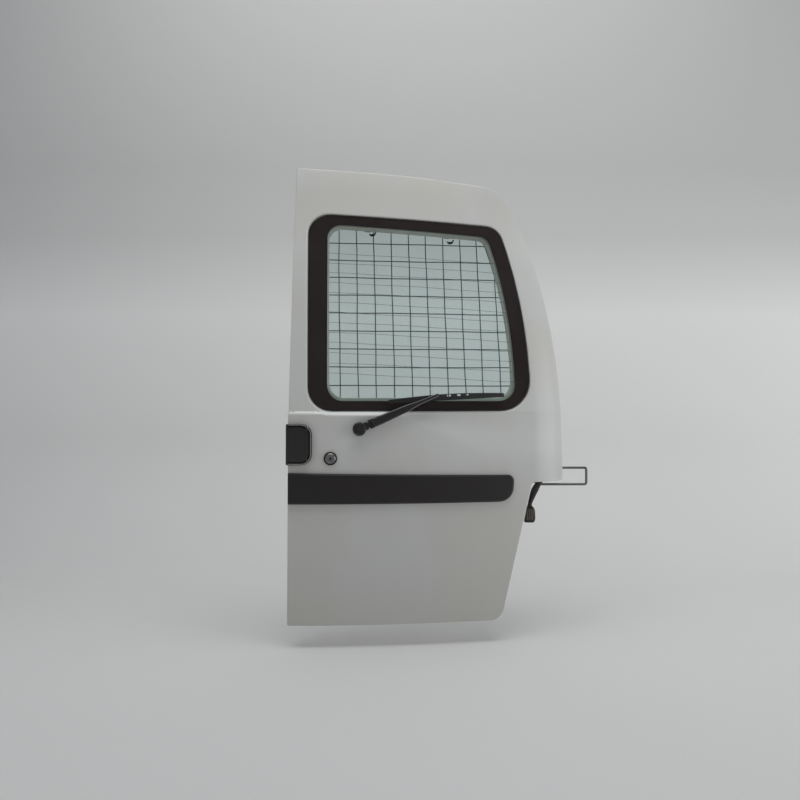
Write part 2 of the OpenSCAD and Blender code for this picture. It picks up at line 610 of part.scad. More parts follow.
// Wiring gaiter and plug, hanging under the lobe
exit_x = door_w - 62;
exit_z = lobe_z + inner_in;
exit_y = skin_y(exit_x, exit_z) + door_t / 2;
gaiter_run = [[0, -4.4], [0, -8], [-4, -14.5], [-11, -24], [-17, -34], [-21.5, -46], [-25, -58], [-28, -70], [-31, -80.5],
  [-33, -90], [-33, -97.6]];
gaiter_route = [for (c = gaiter_run) [exit_x + c[0], 0, exit_z + c[1]]];
gaiter_d = 15;
plug_x = exit_x - 33;
plug_z1 = exit_z - 89.3;
module harness_grommet() color(dark_rubber) seated() translate([exit_x, exit_y, exit_z]) {
  translate([0, 0, -4]) cylinder(r = 13, h = 3.7);
}
function route_dir(i) = unit(gaiter_route[min(i + 1, len(gaiter_route) - 1)] - gaiter_route[max(i - 1, 0)]);
module harness_gaiter() color(dark_rubber) seated() translate([0, exit_y, 0])
  ringed([for (i = [0:len(gaiter_route) - 1]) let (d = route_dir(i), s = [-d[2], 0, d[0]], p = gaiter_route[i])
    [for (a = [0:45:315]) p + gaiter_d / 2 * (s * cos(a) + [0, 1, 0] * sin(a))]]);
module harness_plug() color(black) seated() translate([plug_x, exit_y, plug_z1]) difference() {
  ringed([for (q = [[0, 11.5, 10.5], [-14, 14, 11], [-31, 16.5, 12], [-43.7, 16, 12]])
    [for (c = [[1, 1], [-1, 1], [-1, -1], [1, -1]]) [c[0] * q[1], c[1] * q[2], q[0]]]]);
  translate([0, 0, -8.5]) cylinder(r = gaiter_d / 2 + gap / 2, h = 20);
}

outer_skin();
inner_panel();
window_frame();
window_glass();
window_border();
window_bond();
wire_guard();
guard_clips();
rubbing_strip();
handle_bezel();
handle_pin();
handle_flap();
lock_housing();
lock_plug();
latch_case();
latch_claw();
latch_rod();
wiper_bush();
wiper_spindle();
wiper_cap();
wiper_knuckle_pin();
wiper_arm();
blade_bridge();
blade_rubber();
wiper_motor();
motor_bracket();
hinge_box_upper();
hinge_box_lower();
stay_bracket();
check_stay();
harness_grommet();
harness_gaiter();
harness_plug();
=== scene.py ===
"""Looks of the right-hand rear barn door of a small van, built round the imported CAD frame.

All the shapes below are worked out in millimetres in the door's own frame: x from the closing
edge to the hinge side, y from the outer skin into the van, z up from the foot. row() turns them
into the row frame in metres, whose origin is the middle of the upper hinge box's face.
"""

import math

import bpy
import numpy as np
from mathutils import Matrix, Vector
from mathutils.geometry import delaunay_2d_cdt


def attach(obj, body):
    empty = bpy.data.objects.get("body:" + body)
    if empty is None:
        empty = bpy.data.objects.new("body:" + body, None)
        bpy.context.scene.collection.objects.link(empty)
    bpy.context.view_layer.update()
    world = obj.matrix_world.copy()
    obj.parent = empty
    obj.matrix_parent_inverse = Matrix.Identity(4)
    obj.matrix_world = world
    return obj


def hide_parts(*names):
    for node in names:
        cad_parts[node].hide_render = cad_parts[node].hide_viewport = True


bl_info = {
    "name": "Van rear door looks",
    "version": (1, 0, 0),
    "blender": (4, 5, 0),
    "location": "3D View > Sidebar > Rear door",
    "description": "Builds the painted leaf, window, guard, wiper and fittings of a van's rear door",
    "category": "Object",
}

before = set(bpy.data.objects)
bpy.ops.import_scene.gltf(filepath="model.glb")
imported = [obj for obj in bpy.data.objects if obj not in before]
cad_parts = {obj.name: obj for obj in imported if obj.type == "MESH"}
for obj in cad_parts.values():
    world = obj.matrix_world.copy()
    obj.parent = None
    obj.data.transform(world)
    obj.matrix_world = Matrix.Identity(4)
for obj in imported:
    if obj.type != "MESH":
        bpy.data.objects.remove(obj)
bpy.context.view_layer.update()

# Form of the leaf, in mm; the same figures as the CAD part
DOOR_W, DOOR_H, LOBE_Z, SHOULDER_Z = 752.0, 1255.0, 366.0, 1203.0
FOOT_W, WAIST_W = 567.0, 655.0
# the lower panel's head, and the upper panel's foot, which is set back from it
LOW_TOP, UP_FOOT, SET_BACK = 545.0, 566.0, 13.0
# the hinge-side edge comes in by EDGE_K (z - EDGE_Z)^EDGE_POWER
EDGE_Z, EDGE_K, EDGE_POWER = 480.0, 7.45e-5, 2.2
CREASE_TOP, CREASE_H = 558.2, 5.5
LEAN, UP_LEAN, SIDE_R, CROWN_R = math.tan(math.radians(1.6)), math.tan(math.radians(9.4)), 5800.0, 3000.0
WRAP_W, WRAP_R = 90.0, 120.0
HANDLE_Z, LOCK_X, LOCK_Z, WIPER_X, WIPER_Z = 473.0, 112.0, 436.0, 187.0, 511.5
# the inner pressing's depth behind the skin, and the guard's lower corner, width and height
INNER_Y = 52.0
GUARD_X, GUARD_Z, GUARD_W, GUARD_H = 101.0, 587.0, 499.0, 483.0


def smooth(t):
    """Smooth step: 3t^2 - 2t^3 with t held to 0..1."""
    t = np.clip(t, 0, 1)
    return t * t * (3 - 2 * t)


def gentle(t):
    """Softer step: t^3 (10 - 15t + 6t^2) with t held to 0..1."""
    t = np.clip(t, 0, 1)
    return t**3 * (10 - 15 * t + 6 * t * t)


def edge_x(z):
    """Hinge-side edge: door_w - k (z - 480)^2.2 above z = 480."""
    return DOOR_W - EDGE_K * np.maximum(0, z - EDGE_Z) ** EDGE_POWER


def base_y(x, z):
    """Crown of radius 3 m seen from above, plus the corner wrap of radius 120 mm."""
    slope = EDGE_K * EDGE_POWER * np.maximum(0, z - EDGE_Z) ** (EDGE_POWER - 1)
    t = np.clip((x - edge_x(z)) / np.hypot(1, slope) + WRAP_W, 0, WRAP_R - 6)
    return CROWN_R - np.sqrt(CROWN_R**2 - x * x) + WRAP_R - np.sqrt(WRAP_R**2 - t * t)


def upper_y(x, z):
    """Upper panel and glass: set-back + u tan(lean) + u^2 / 2R, u from z = 566."""
    u = z - UP_FOOT
    return LOW_TOP * LEAN + SET_BACK + u * UP_LEAN + np.maximum(0, u) ** 2 / (2 * SIDE_R) + base_y(x, z)


def skin_y(x, z):
    """Outer skin: lower panel below the crease, upper panel above, joined by a smooth step that
    is 5.5 mm tall at the closing edge, where it runs up a little, and softens towards the hinge side."""
    # it runs up 3 mm over the last 170 mm, and from x = 235 to 615 it grows 150 mm taller
    top = CREASE_TOP + 3 * (1 - smooth(x / 170))
    low = np.minimum(z, top) * LEAN + base_y(x, z)
    share = smooth((x - 235) / 380)
    tall = CREASE_H + 150 * share
    t = (z - top + tall) / tall
    w = smooth(t) + (gentle(t) - smooth(t)) * share
    return low + (upper_y(x, np.maximum(z, top)) - low) * w


def cad_y(x, z):
    """The CAD part's own skin, on which the fittings of the lower panel sit."""
    step = SET_BACK * smooth((z - LOW_TOP) / (UP_FOOT - LOW_TOP))
    u = np.maximum(0, z - UP_FOOT)
    return np.minimum(z, LOW_TOP) * LEAN + step + u * UP_LEAN + u * u / (2 * SIDE_R) + base_y(x, z)


ORIGIN = np.array([708.0, float(cad_y(708.0, 780.0)) + INNER_Y - 15, 780.0])


def row(points):
    """mm in the door's frame to metres in the row frame."""
    return (np.asarray(points, float) - ORIGIN) / 1000


def lifted(pts, depth, surface=None):
    """Points (x, z) with y at a depth, measured off a surface where one is given."""
    x, z = np.asarray(pts, float).T
    return np.stack([x, (surface(x, z) if surface else 0 * x) + depth, z], 1)


# Outlines in the x-z plane, anticlockwise seen from outside
def rounded(corners, n=8):
    """Closed outline from corners (x, z, radius); each arc has n + 1 points."""
    out = []
    for i, (x, z, r) in enumerate(corners):
        b = np.array([x, z], float)
        if r <= 0:
            out.append(b)
            continue
        a = np.array(corners[i - 1][:2], float)
        c = np.array(corners[(i + 1) % len(corners)][:2], float)
        u, v = (a - b) / np.linalg.norm(a - b), (c - b) / np.linalg.norm(c - b)
        half = math.acos(max(-1.0, min(1.0, float(u @ v)))) / 2
        m = b + (u + v) / np.linalg.norm(u + v) * r / math.sin(half)
        p, q = b + u * r / math.tan(half) - m, b + v * r / math.tan(half) - m
        s = math.atan2(p[1], p[0])
        d = (math.atan2(q[1], q[0]) - s + 3 * math.pi) % (2 * math.pi) - math.pi
        out += [m + r * np.array([math.cos(s + d * k / n), math.sin(s + d * k / n)]) for k in range(n + 1)]
    return np.array(out)


def leaf(i=0.0, side=None):
    """The leaf's outline drawn in by i, and by side on the lobe, as corners (x, z, radius). The
    curve is the hinge side, and a corner of 2.6 m radius gives the top its crown."""
    side = i if side is None else side
    soft = max(0.5, 5 - i)
    top = DOOR_H - i
    curve = [(edge_x(z) - side, z, 0) for z in np.linspace(EDGE_Z, 1090, 9)]
    return rounded(
        [(i, i, soft), (FOOT_W - i, i, max(6, 35 - i)), (WAIST_W - i, LOBE_Z + i, 12 + i),
         (DOOR_W - side, LOBE_Z + i, max(0.5, 6 - i))] + curve
        + [(edge_x(SHOULDER_Z) - side, SHOULDER_Z + 2 - i, 110 - side),
           (330, (top + SHOULDER_Z - i) / 2 + 5.5, 2600), (i, top - 0.2, max(0.5, 8 - i))])


def glass_x(z):
    """Right edge of the glass: 654 - k (z - 600)^2.08 above z = 600."""
    return 654.0 - 2.013e-4 * np.maximum(0, z - 600) ** 2.08


def window(left, top, right, foot, soft=0.0):
    """The window's outline drawn in at its four sides, as corners (x, z, radius) and a curve on
    the right. soft makes the corners tighter."""
    zr = 1085.5 - top
    curve = [(glass_x(z) - right, z, 0) for z in np.linspace(655.5 + foot, zr - 75, 6)]
    return rounded(
        [(51 + left, 560.5 + foot, 65 - soft), (glass_x(560.5 + foot) - right, 560.5 + foot, 85 - 1.8 * soft)] + curve
        + [(glass_x(zr) - right, zr, 55 - soft), (38 + 1.08 * left, 1114 - top, 58 - soft)])


def glass_edge(d):
    """Edge of the glass, drawn in by d all round."""
    return window(d, d, d, d)


def border_edge(e):
    """Inner edge of the printed border, drawn in by e."""
    return window(50 + e, 31 + e, 42 + e, 26.5 + e, 22)


def aperture_edge(e):
    """Edge of the opening in the inner pressing, drawn in by e."""
    return window(51 + e, 34 + e, 48 + e, 35 + e, 22)


def any_edge(kind, d):
    """The window's outlines have the same corners, so that one Loop can join them."""
    return (glass_edge, border_edge, aperture_edge)[kind](d)


class Loop:
    """A family of outlines drawn in by a distance, with points spread evenly along them."""

    def __init__(self, outline, step=8.0, start=0.0):
        base = outline(*np.atleast_1d(start))
        long = np.linalg.norm(np.roll(base, -1, 0) - base, axis=1)
        self.outline = outline
        self.counts = np.maximum(1, np.ceil(long / step)).astype(int)

    def at(self, *d):
        """The outline's points when it is drawn in by d."""
        pts = self.outline(*d)
        nxt = np.roll(pts, -1, 0)
        return np.concatenate([p + (q - p) * (np.arange(c) / c)[:, None]
                               for p, q, c in zip(pts, nxt, self.counts)])


def inside(pts, loop):
    """Whether each point lies in the closed outline, by crossings of a level ray."""
    hit = np.zeros(len(pts), bool)
    for (x0, z0), (x1, z1) in zip(loop, np.roll(loop, -1, 0)):
        if z0 == z1:
            continue
        cross = (pts[:, 1] >= min(z0, z1)) & (pts[:, 1] < max(z0, z1))
        hit ^= cross & (pts[:, 0] < x0 + (pts[:, 1] - z0) * (x1 - x0) / (z1 - z0))
    return hit


def clear_of(pts, loop, gap):
    """Whether each point is further than gap from the outline."""
    ok = np.ones(len(pts), bool)
    for a, b in zip(loop, np.roll(loop, -1, 0)):
        ab = b - a
        t = np.clip(((pts - a) @ ab) / max(1e-9, float(ab @ ab)), 0, 1)
        ok &= np.linalg.norm(pts - a - t[:, None] * ab, axis=1) > gap
    return ok


def filled(outer, holes=(), step=9.0, rows=()):
    """Triangles over the region in outer and out of holes, on a grid of the given step with
    extra rows. Returns points and triangles, anticlockwise; the loops' points come first."""
    lo, hi = outer.min(0), outer.max(0)
    xs = np.linspace(lo[0], hi[0], max(2, int((hi[0] - lo[0]) / step) + 1))
    zs = np.linspace(lo[1], hi[1], max(2, int((hi[1] - lo[1]) / step) + 1))
    if len(rows):
        keep = np.min(np.abs(zs[:, None] - np.array(rows)[None, :]), axis=1) > 0.5 * step
        zs = np.sort(np.concatenate([zs[keep], rows]))
    grid = np.array([(x, z) for z in zs for x in xs])
    grid = grid[inside(grid, outer)]
    grid = grid[clear_of(grid, outer, step * 0.4)]
    for h in holes:
        grid = grid[~inside(grid, h)]
        grid = grid[clear_of(grid, h, step * 0.4)]
    loops = [outer] + list(holes)
    pts = np.concatenate(loops + [grid])
    edges, at = [], 0
    for loop in loops:
        edges += [(at + k, at + (k + 1) % len(loop)) for k in range(len(loop))]
        at += len(loop)
    _, _, faces, origin, _, _ = delaunay_2d_cdt([Vector(p) for p in pts], edges, [], 0, 1e-6)
    source = [o[0] if o else -1 for o in origin]
    tris = np.array([[source[v] for v in f] for f in faces if len(f) == 3])
    tris = tris[(tris >= 0).all(1)]
    mid = pts[tris].mean(1)
    keep = inside(mid, outer)
    for h in holes:
        keep &= ~inside(mid, h)
    tris = tris[keep]
    a, b, c = pts[tris[:, 0]], pts[tris[:, 1]], pts[tris[:, 2]]
    turn = (b[:, 0] - a[:, 0]) * (c[:, 1] - a[:, 1]) - (b[:, 1] - a[:, 1]) * (c[:, 0] - a[:, 0])
    tris[turn < 0] = tris[turn < 0][:, ::-1]
    return pts, tris[np.abs(turn) > 1e-6]


class Body:
    """Vertices in mm in the door's frame, faces and optional normals, gathered into one mesh."""

    def __init__(self):
        self.v, self.f, self.n, self.count = [], [], [], 0

    def add(self, v, faces, normals=None, place=None):
        """Adds a solid, put where the matrix place says."""
        v = np.asarray(v, float)
        normals = np.zeros_like(v) if normals is None else normals
        if place is not None:
            v = v @ place[:3, :3].T + place[:3, 3]
            normals = normals @ place[:3, :3].T
        self.v.append(v)
        self.n.append(normals)
        self.f += [tuple(int(i) + self.count for i in f) for f in faces]
        self.count += len(v)
        return self

    def build(self, name, look, body, replaces, slot, sharp, own_normals=False):
        """Makes the piece; edges that turn by more than sharp degrees stay crisp."""
        mesh = bpy.data.meshes.new(name)
        mesh.from_pydata(row(np.concatenate(self.v)).tolist(), [], self.f)
        mesh.validate()
        mesh.shade_smooth()
        mesh.set_sharp_from_angle(angle=math.radians(sharp))
        if own_normals and len(mesh.vertices) == self.count:
            mesh.normals_split_custom_set_from_vertices(np.concatenate(self.n).tolist())
        mesh.materials.append(palette()[look])
        obj = bpy.data.objects.new(name, mesh)
        bpy.context.scene.collection.objects.link(obj)
        if replaces:
            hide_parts(*replaces)
        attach(obj, body)
        return obj


def sheet_body(body, loop_sets, surface, caps, step=9.0, rows=(), place=None):
    """Adds a pressed sheet to body. loop_sets is a list of edge profiles, the outer edge first:
    each is (Loop, [(drawn in, depth), ...], hole) and runs from the front face round the edge to
    the back face. caps is (front depth, back depth); surface(x, z) is the sheet's own form."""
    chains = [([(loop.at(*np.atleast_1d(d)), depth) for d, depth in profile], hole)
              for loop, profile, hole in loop_sets]

    def normal(p, sign):
        """The surface's normal, from its slopes over 1 mm."""
        x, z, e = p[:, 0], p[:, 1], 0.5
        fx = (surface(x + e, z) - surface(x - e, z)) / (2 * e)
        fz = (surface(x, z + e) - surface(x, z - e)) / (2 * e)
        n = np.stack([fx, -np.ones(len(p)), fz], 1)
        return sign * n / np.linalg.norm(n, axis=1)[:, None]

    (front, front_tris), (back, back_tris) = (
        filled(chains[0][0][end][0], [rings[end][0] for rings, _ in chains[1:]], step, rows) for end in (0, -1))
    turned, at = len(front), len(front) + len(back)
    v = [lifted(front, caps[0], surface), lifted(back, caps[1], surface)]
    normals = [normal(front, 1), normal(back, -1)]
    f = [tuple(t) for t in front_tris] + [(a + turned, c + turned, b + turned) for a, b, c in back_tris]
    offset = 0
    for rings, hole in chains:
        m = len(rings[0][0])
        ids = [np.arange(m) + offset]
        for p, depth in rings[1:-1]:
            v.append(lifted(p, depth, surface))
            normals.append(np.zeros((m, 3)))
            ids.append(np.arange(m) + at)
            at += m
        ids.append(np.arange(m) + turned + offset)
        for a, b in zip(ids, ids[1:]):
            for j in range(m):
                k = (j + 1) % m
                f.append((b[k], b[j], a[j], a[k]) if hole else (b[j], b[k], a[k], a[j]))
        offset += m
    return body.add(np.concatenate(v), f, np.concatenate(normals), place)


# Plain solids in a local frame in mm
def lathe(profile, n=48):
    """Turns (radius, y) pairs about the y axis, from the inner end to the outer one (falling y)."""
    v, f, rings = [], [], []
    for r, y in profile:
        if r <= 1e-6:
            rings.append([len(v)])
            v.append((0, y, 0))
        else:
            rings.append(list(range(len(v), len(v) + n)))
            v += [(r * math.cos(2 * math.pi * k / n), y, r * math.sin(2 * math.pi * k / n)) for k in range(n)]
    for a, b in zip(rings, rings[1:]):
        for j in range(n):
            k = (j + 1) % n
            if len(a) == 1 and len(b) == 1:
                continue
            if len(a) == 1:
                f.append((a[0], b[j], b[k]))
            elif len(b) == 1:
                f.append((a[j], b[0], a[k]))
            else:
                f.append((a[j], b[j], b[k], a[k]))
    return np.array(v, float), f


def drum(r, y0, y1, soft=0.0, n=48):
    """A closed cylinder along y with its edges rounded by soft."""
    arc = [(soft * math.sin(a), soft * (1 - math.cos(a))) for a in np.linspace(0, math.pi / 2, 5)] if soft else [(0, 0)]
    near = [(r - soft + s, y0 + d) for s, d in arc]
    far = [(r - soft + s, y1 - d) for s, d in arc]
    return lathe([(0, y1)] + far + near[::-1] + [(0, y0)], n)


def loft(rings, cap=True):
    """Joins rings of equal length; the faces look outwards when each ring runs anticlockwise seen
    from the far end looking back along the loft."""
    m, f = len(rings[0]), []
    for i in range(len(rings) - 1):
        for j in range(m):
            k = (j + 1) % m
            f.append((i * m + j, i * m + k, (i + 1) * m + k, (i + 1) * m + j))
    if cap:
        f.append(tuple(range(m))[::-1])
        f.append(tuple(range((len(rings) - 1) * m, len(rings) * m)))
    return np.concatenate([np.asarray(r, float) for r in rings]), f


def slab(outline, y0, y1):
    """A plate between y0 and y1 on an outline in x-z, anticlockwise seen from -y."""
    return loft([lifted(outline, y1), lifted(outline, y0)])


def brick(x0, x1, y0, y1, z0, z1):
    """A block between two values of x, y and z."""
    return slab([(x0, z0), (x1, z0), (x1, z1), (x0, z1)], y0, y1)


def rod(path, r, n=16, closed=False):
    """A round rod along a path, carried by a frame that turns as little as it can. r may be a list."""
    p = np.asarray(path, float)
    count = len(p)
    r = np.full(count, float(r)) if np.isscalar(r) else np.asarray(r, float)
    if closed:
        t = np.roll(p, -1, 0) - np.roll(p, 1, 0)
    else:
        t = np.gradient(p, axis=0)
    t /= np.linalg.norm(t, axis=1)[:, None]
    side = np.cross(t[0], [0.0, 1.0, 0.0])
    if np.linalg.norm(side) < 1e-3:
        side = np.cross(t[0], [0.0, 0.0, 1.0])
    side /= np.linalg.norm(side)
    rings = []
    for i in range(count):
        side = side - t[i] * (side @ t[i])
        side /= np.linalg.norm(side)
        up = np.cross(t[i], side)
        rings.append([p[i] + r[i] * (math.cos(a) * side + math.sin(a) * up)
                      for a in np.linspace(0, 2 * math.pi, n, endpoint=False)])
    if not closed:
        return loft(rings)
    v, f = loft(rings, cap=False)
    first = (count - 1) * n
    for j in range(n):
        k = (j + 1) % n
        f.append((first + j, first + k, k, j))
    return v, f


def bent(points, radius, n=6):
    """A path through points with its inner corners rounded by radius."""
    pts = [np.asarray(p, float) for p in points]
    out = [pts[0]]
    for a, b, c in zip(pts, pts[1:], pts[2:]):
        u, v = (a - b) / np.linalg.norm(a - b), (c - b) / np.linalg.norm(c - b)
        half = math.acos(max(-1.0, min(1.0, float(u @ v)))) / 2
        cut = radius / math.tan(half)
        m = b + (u + v) / np.linalg.norm(u + v) * radius / math.sin(half)
        p, q = b + u * cut - m, b + v * cut - m
        whole = math.acos(max(-1.0, min(1.0, float(p @ q) / radius**2)))
        out += [m + (math.sin(whole * (1 - k / n)) * p + math.sin(whole * k / n) * q) / math.sin(whole)
                for k in range(n + 1)]
    return np.array(out + [pts[-1]])


def spaced(path, gap):
    """The same path with points no further apart than gap."""
    out = [path[0]]
    for a, b in zip(path, path[1:]):
        k = max(1, int(np.linalg.norm(b - a) / gap))
        out += [a + (b - a) * (i + 1) / k for i in range(k)]
    return np.array(out)


# Local frames: -y is the outward normal
def turn(axis, degrees):
    """A turn about one axis as a matrix."""
    return np.array(Matrix.Rotation(math.radians(degrees), 4, axis))


def moved(x, y, z):
    """A shift as a matrix."""
    m = np.eye(4)
    m[:3, 3] = x, y, z
    return m


def on_skin(x, z, lean=1.6, yaw=None):
    """A frame on the CAD skin that follows its lean and, unless yaw is given, its crown."""
    yaw = math.degrees(math.asin(x / CROWN_R)) if yaw is None else yaw
    return moved(x, float(cad_y(x, z)), z) @ turn("Z", yaw) @ turn("X", -lean)


AT_WIPER = on_skin(WIPER_X, WIPER_Z, 9, 6.5)
AT_ARM = AT_WIPER @ turn("Y", -23)
AT_HANDLE = on_skin(0, HANDLE_Z)
AT_LOCK = on_skin(LOCK_X, LOCK_Z)
# the guard lies on the chords across and up the middle of the window
MID_X, MID_Z = GUARD_X + GUARD_W / 2, GUARD_Z + GUARD_H / 2
GUARD_YAW = math.atan((cad_y(GUARD_X + GUARD_W, MID_Z) - cad_y(GUARD_X, MID_Z)) / GUARD_W)
GUARD_TILT = math.atan((cad_y(MID_X, GUARD_Z + GUARD_H) - cad_y(MID_X, GUARD_Z)) / GUARD_H)
AT_GUARD = (moved(GUARD_X, float(cad_y(GUARD_X, GUARD_Z)) + 54.5, GUARD_Z)
            @ turn("Z", math.degrees(GUARD_YAW)) @ turn("X", -math.degrees(GUARD_TILT)))


# Materials
REACH = 0.8  # metres up and down within which a colour can follow the height


def node(tree, kind, values=(), **settings):
    """A new shader node with its settings and its inputs' values."""
    made = tree.nodes.new("ShaderNode" + kind)
    for key, value in settings.items():
        setattr(made, key, value)
    for key, value in dict(values).items():
        made.inputs[key].default_value = value
    return made


def join(tree, *links):
    """Links each (node, output, node, input)."""
    for source, output, target, into in links:
        tree.links.new(source.outputs[output], target.inputs[into])


def new_look(name, values):
    """A new material, its node tree and its Principled node with these values."""
    mat = bpy.data.materials.new(name)
    mat.use_nodes = True
    bsdf = mat.node_tree.nodes["Principled BSDF"]
    for key, value in values.items():
        bsdf.inputs[key].default_value = value
    return mat, mat.node_tree, bsdf


def clear_where(tree, bsdf, mask, output, tint=(1, 1, 1)):
    """Lets light straight through where the mask's output is 1."""
    clear, both = node(tree, "BsdfTransparent", {"Color": (*tint, 1)}), node(tree, "MixShader")
    join(tree, (mask, output, both, "Fac"), (bsdf, "BSDF", both, 1), (clear, "BSDF", both, 2),
         (both, "Shader", tree.nodes["Material Output"], "Surface"))


def by_height(tree, coords, stops):
    """A colour that follows the object's own height, z in metres against colour."""
    axes, ramp = node(tree, "SeparateXYZ"), node(tree, "ValToRGB")
    span = node(tree, "MapRange", {"From Min": -REACH, "From Max": REACH})
    places = [(z + REACH) / (2 * REACH) for z, _ in stops]
    marks = ramp.color_ramp.elements
    for place in places[1:-1]:
        marks.new(place)
    marks[0].position, marks[-1].position = places[0], places[-1]
    for mark, (_, color) in zip(marks, stops):
        mark.color = (*color, 1)
    join(tree, (coords, "Object", axes, "Vector"), (axes, "Z", span, "Value"), (span, "Result", ramp, "Fac"))
    return ramp


def painted_shade_and_highlight(tree, coords, paint):
    """Painted shade that makes the paint darker and warmer towards the foot and darker at the head, and a
    painted highlight: a narrow lighter band along the crease's edge, strongest on the closing-edge side near the
    handle."""
    # painted shade by height: darker and warmer at the foot, darker at the head
    painted_shading = by_height(tree, coords, [(-0.78, (0.74, 0.72, 0.69)), (-0.28, (1, 1, 1)), (0.26, (1, 1, 1)),
                                    (0.40, (0.86, 0.855, 0.835))])
    # painted highlight: a narrow lighter band along the crease, faded out towards the hinge side
    band = by_height(tree, coords, [(-0.2285, (0, 0, 0)), (-0.2270, (1, 1, 1)), (-0.2222, (1, 1, 1)),
                                    (-0.2205, (0, 0, 0))])
    shade_applied = node(tree, "Mix", {"Factor": 1}, data_type="RGBA", blend_type="MULTIPLY")
    bright = node(tree, "Mix", {"B": (0.94, 0.95, 0.94, 1)}, data_type="RGBA", blend_type="MIX")
    axes, both = node(tree, "SeparateXYZ"), node(tree, "Math", operation="MULTIPLY")
    fade = node(tree, "MapRange", {"From Min": -0.30, "From Max": -0.45})
    join(tree, (paint, "Result", shade_applied, "A"), (painted_shading, "Color", shade_applied, "B"), (coords, "Object", axes, "Vector"),
         (axes, "X", fade, "Value"), (fade, "Result", both, 0), (band, "Color", both, 1),
         (both, "Value", bright, "Factor"), (shade_applied, "Result", bright, "A"))
    return bright


def material(name, color, rough=0.5, metal=0.0, coat=0.0, spread=0.0, grain=0.0, grain_scale=900.0, dirt=0.0,
             painted_shading=False):
    """A surface with a slow change of tone (spread), fine grain as bump, and dirt in soft patches,
    all from noise on the object's own coordinates; where asked, also painted shade by height and a painted highlight
    along the crease."""
    mat, tree, bsdf = new_look(name, {"Roughness": rough, "Metallic": metal, "Coat Weight": coat,
                                      "Coat Roughness": 0.12})
    coords, rgba = node(tree, "TexCoord"), (*color, 1.0)
    if spread or dirt:
        noise = node(tree, "TexNoise", {"Scale": 3.0, "Detail": 6.0})
        ramp = node(tree, "MapRange", {"From Min": 0.35, "From Max": 0.75})
        red, green, blue = (tone * (1 - spread) for tone in color)
        dirty = (red, green * (1 - 0.02 * dirt), blue * (1 - 0.12 * dirt), 1)
        last = node(tree, "Mix", {"A": rgba, "B": dirty}, data_type="RGBA")
        join(tree, (coords, "Object", noise, "Vector"), (noise, "Fac", ramp, "Value"), (ramp, "Result", last, "Factor"))
        # painted shade at the foot and head, and a painted highlight along the crease
        if painted_shading:
            last = painted_shade_and_highlight(tree, coords, last)
        join(tree, (last, "Result", bsdf, "Base Color"))
    else:
        bsdf.inputs["Base Color"].default_value = rgba
    if grain:
        fine = node(tree, "TexNoise", {"Scale": grain_scale, "Detail": 3.0})
        bump = node(tree, "Bump", {"Strength": grain, "Distance": 0.0004})
        join(tree, (coords, "Object", fine, "Vector"), (fine, "Fac", bump, "Height"), (bump, "Normal", bsdf, "Normal"))
    return mat


def glass_material(name, tint):
    """Clear glass that lets the lamps' light through to what lies behind it."""
    mat, tree, bsdf = new_look(name, {"Base Color": (*tint, 1.0), "Roughness": 0.0, "Transmission Weight": 1.0,
                                      "IOR": 1.33})
    clear_where(tree, bsdf, node(tree, "LightPath"), "Is Shadow Ray", tint)
    return mat


class DoorColours(bpy.types.PropertyGroup):
    """Colours a user would change."""

    paint: bpy.props.FloatVectorProperty(
        name="Paint", description="Colour of the outer paint",
        subtype="COLOR", default=(0.69, 0.70, 0.70), min=0, max=1)
    inner: bpy.props.FloatVectorProperty(
        name="Inner paint", description="Colour of the inner pressing",
        subtype="COLOR", default=(0.58, 0.58, 0.55), min=0, max=1)
    plastic: bpy.props.FloatVectorProperty(
        name="Black plastic", description="Colour of the handle and wiper",
        subtype="COLOR", default=(0.027, 0.026, 0.027), min=0, max=1)
    strip: bpy.props.FloatVectorProperty(
        name="Rubbing strip", description="Colour of the rubbing strip",
        subtype="COLOR", default=(0.02, 0.016, 0.017), min=0, max=1)
    tint: bpy.props.FloatVectorProperty(
        name="Glass tint", description="Tint of the window glass",
        subtype="COLOR", default=(0.70, 0.81, 0.795), min=0, max=1)
    wire: bpy.props.FloatVectorProperty(
        name="Guard wire", description="Colour of the guard's wires",
        subtype="COLOR", default=(0.09, 0.11, 0.11), min=0, max=1)


class DoorSizes(bpy.types.PropertyGroup):
    """Sizes a user would change."""

    wire_d: bpy.props.FloatProperty(
        name="Guard wire", description="Diameter of the guard's wires",
        unit="LENGTH", default=0.0029, min=0.002, max=0.005)
    edge_r: bpy.props.FloatProperty(
        name="Edge roll", description="Radius of the skin's rolled edge along the top",
        unit="LENGTH", default=0.005, min=0.003, max=0.012)
    heater_w: bpy.props.FloatProperty(
        name="Heater line", description="Width of a printed heater line",
        unit="LENGTH", default=0.0009, min=0.0004, max=0.002)
    strip_r: bpy.props.FloatProperty(
        name="Strip edge", description="Radius of the rubbing strip's edge",
        unit="LENGTH", default=0.006, min=0.002, max=0.009)


# Filled once by palette(), which the first piece calls
PALETTE = {}


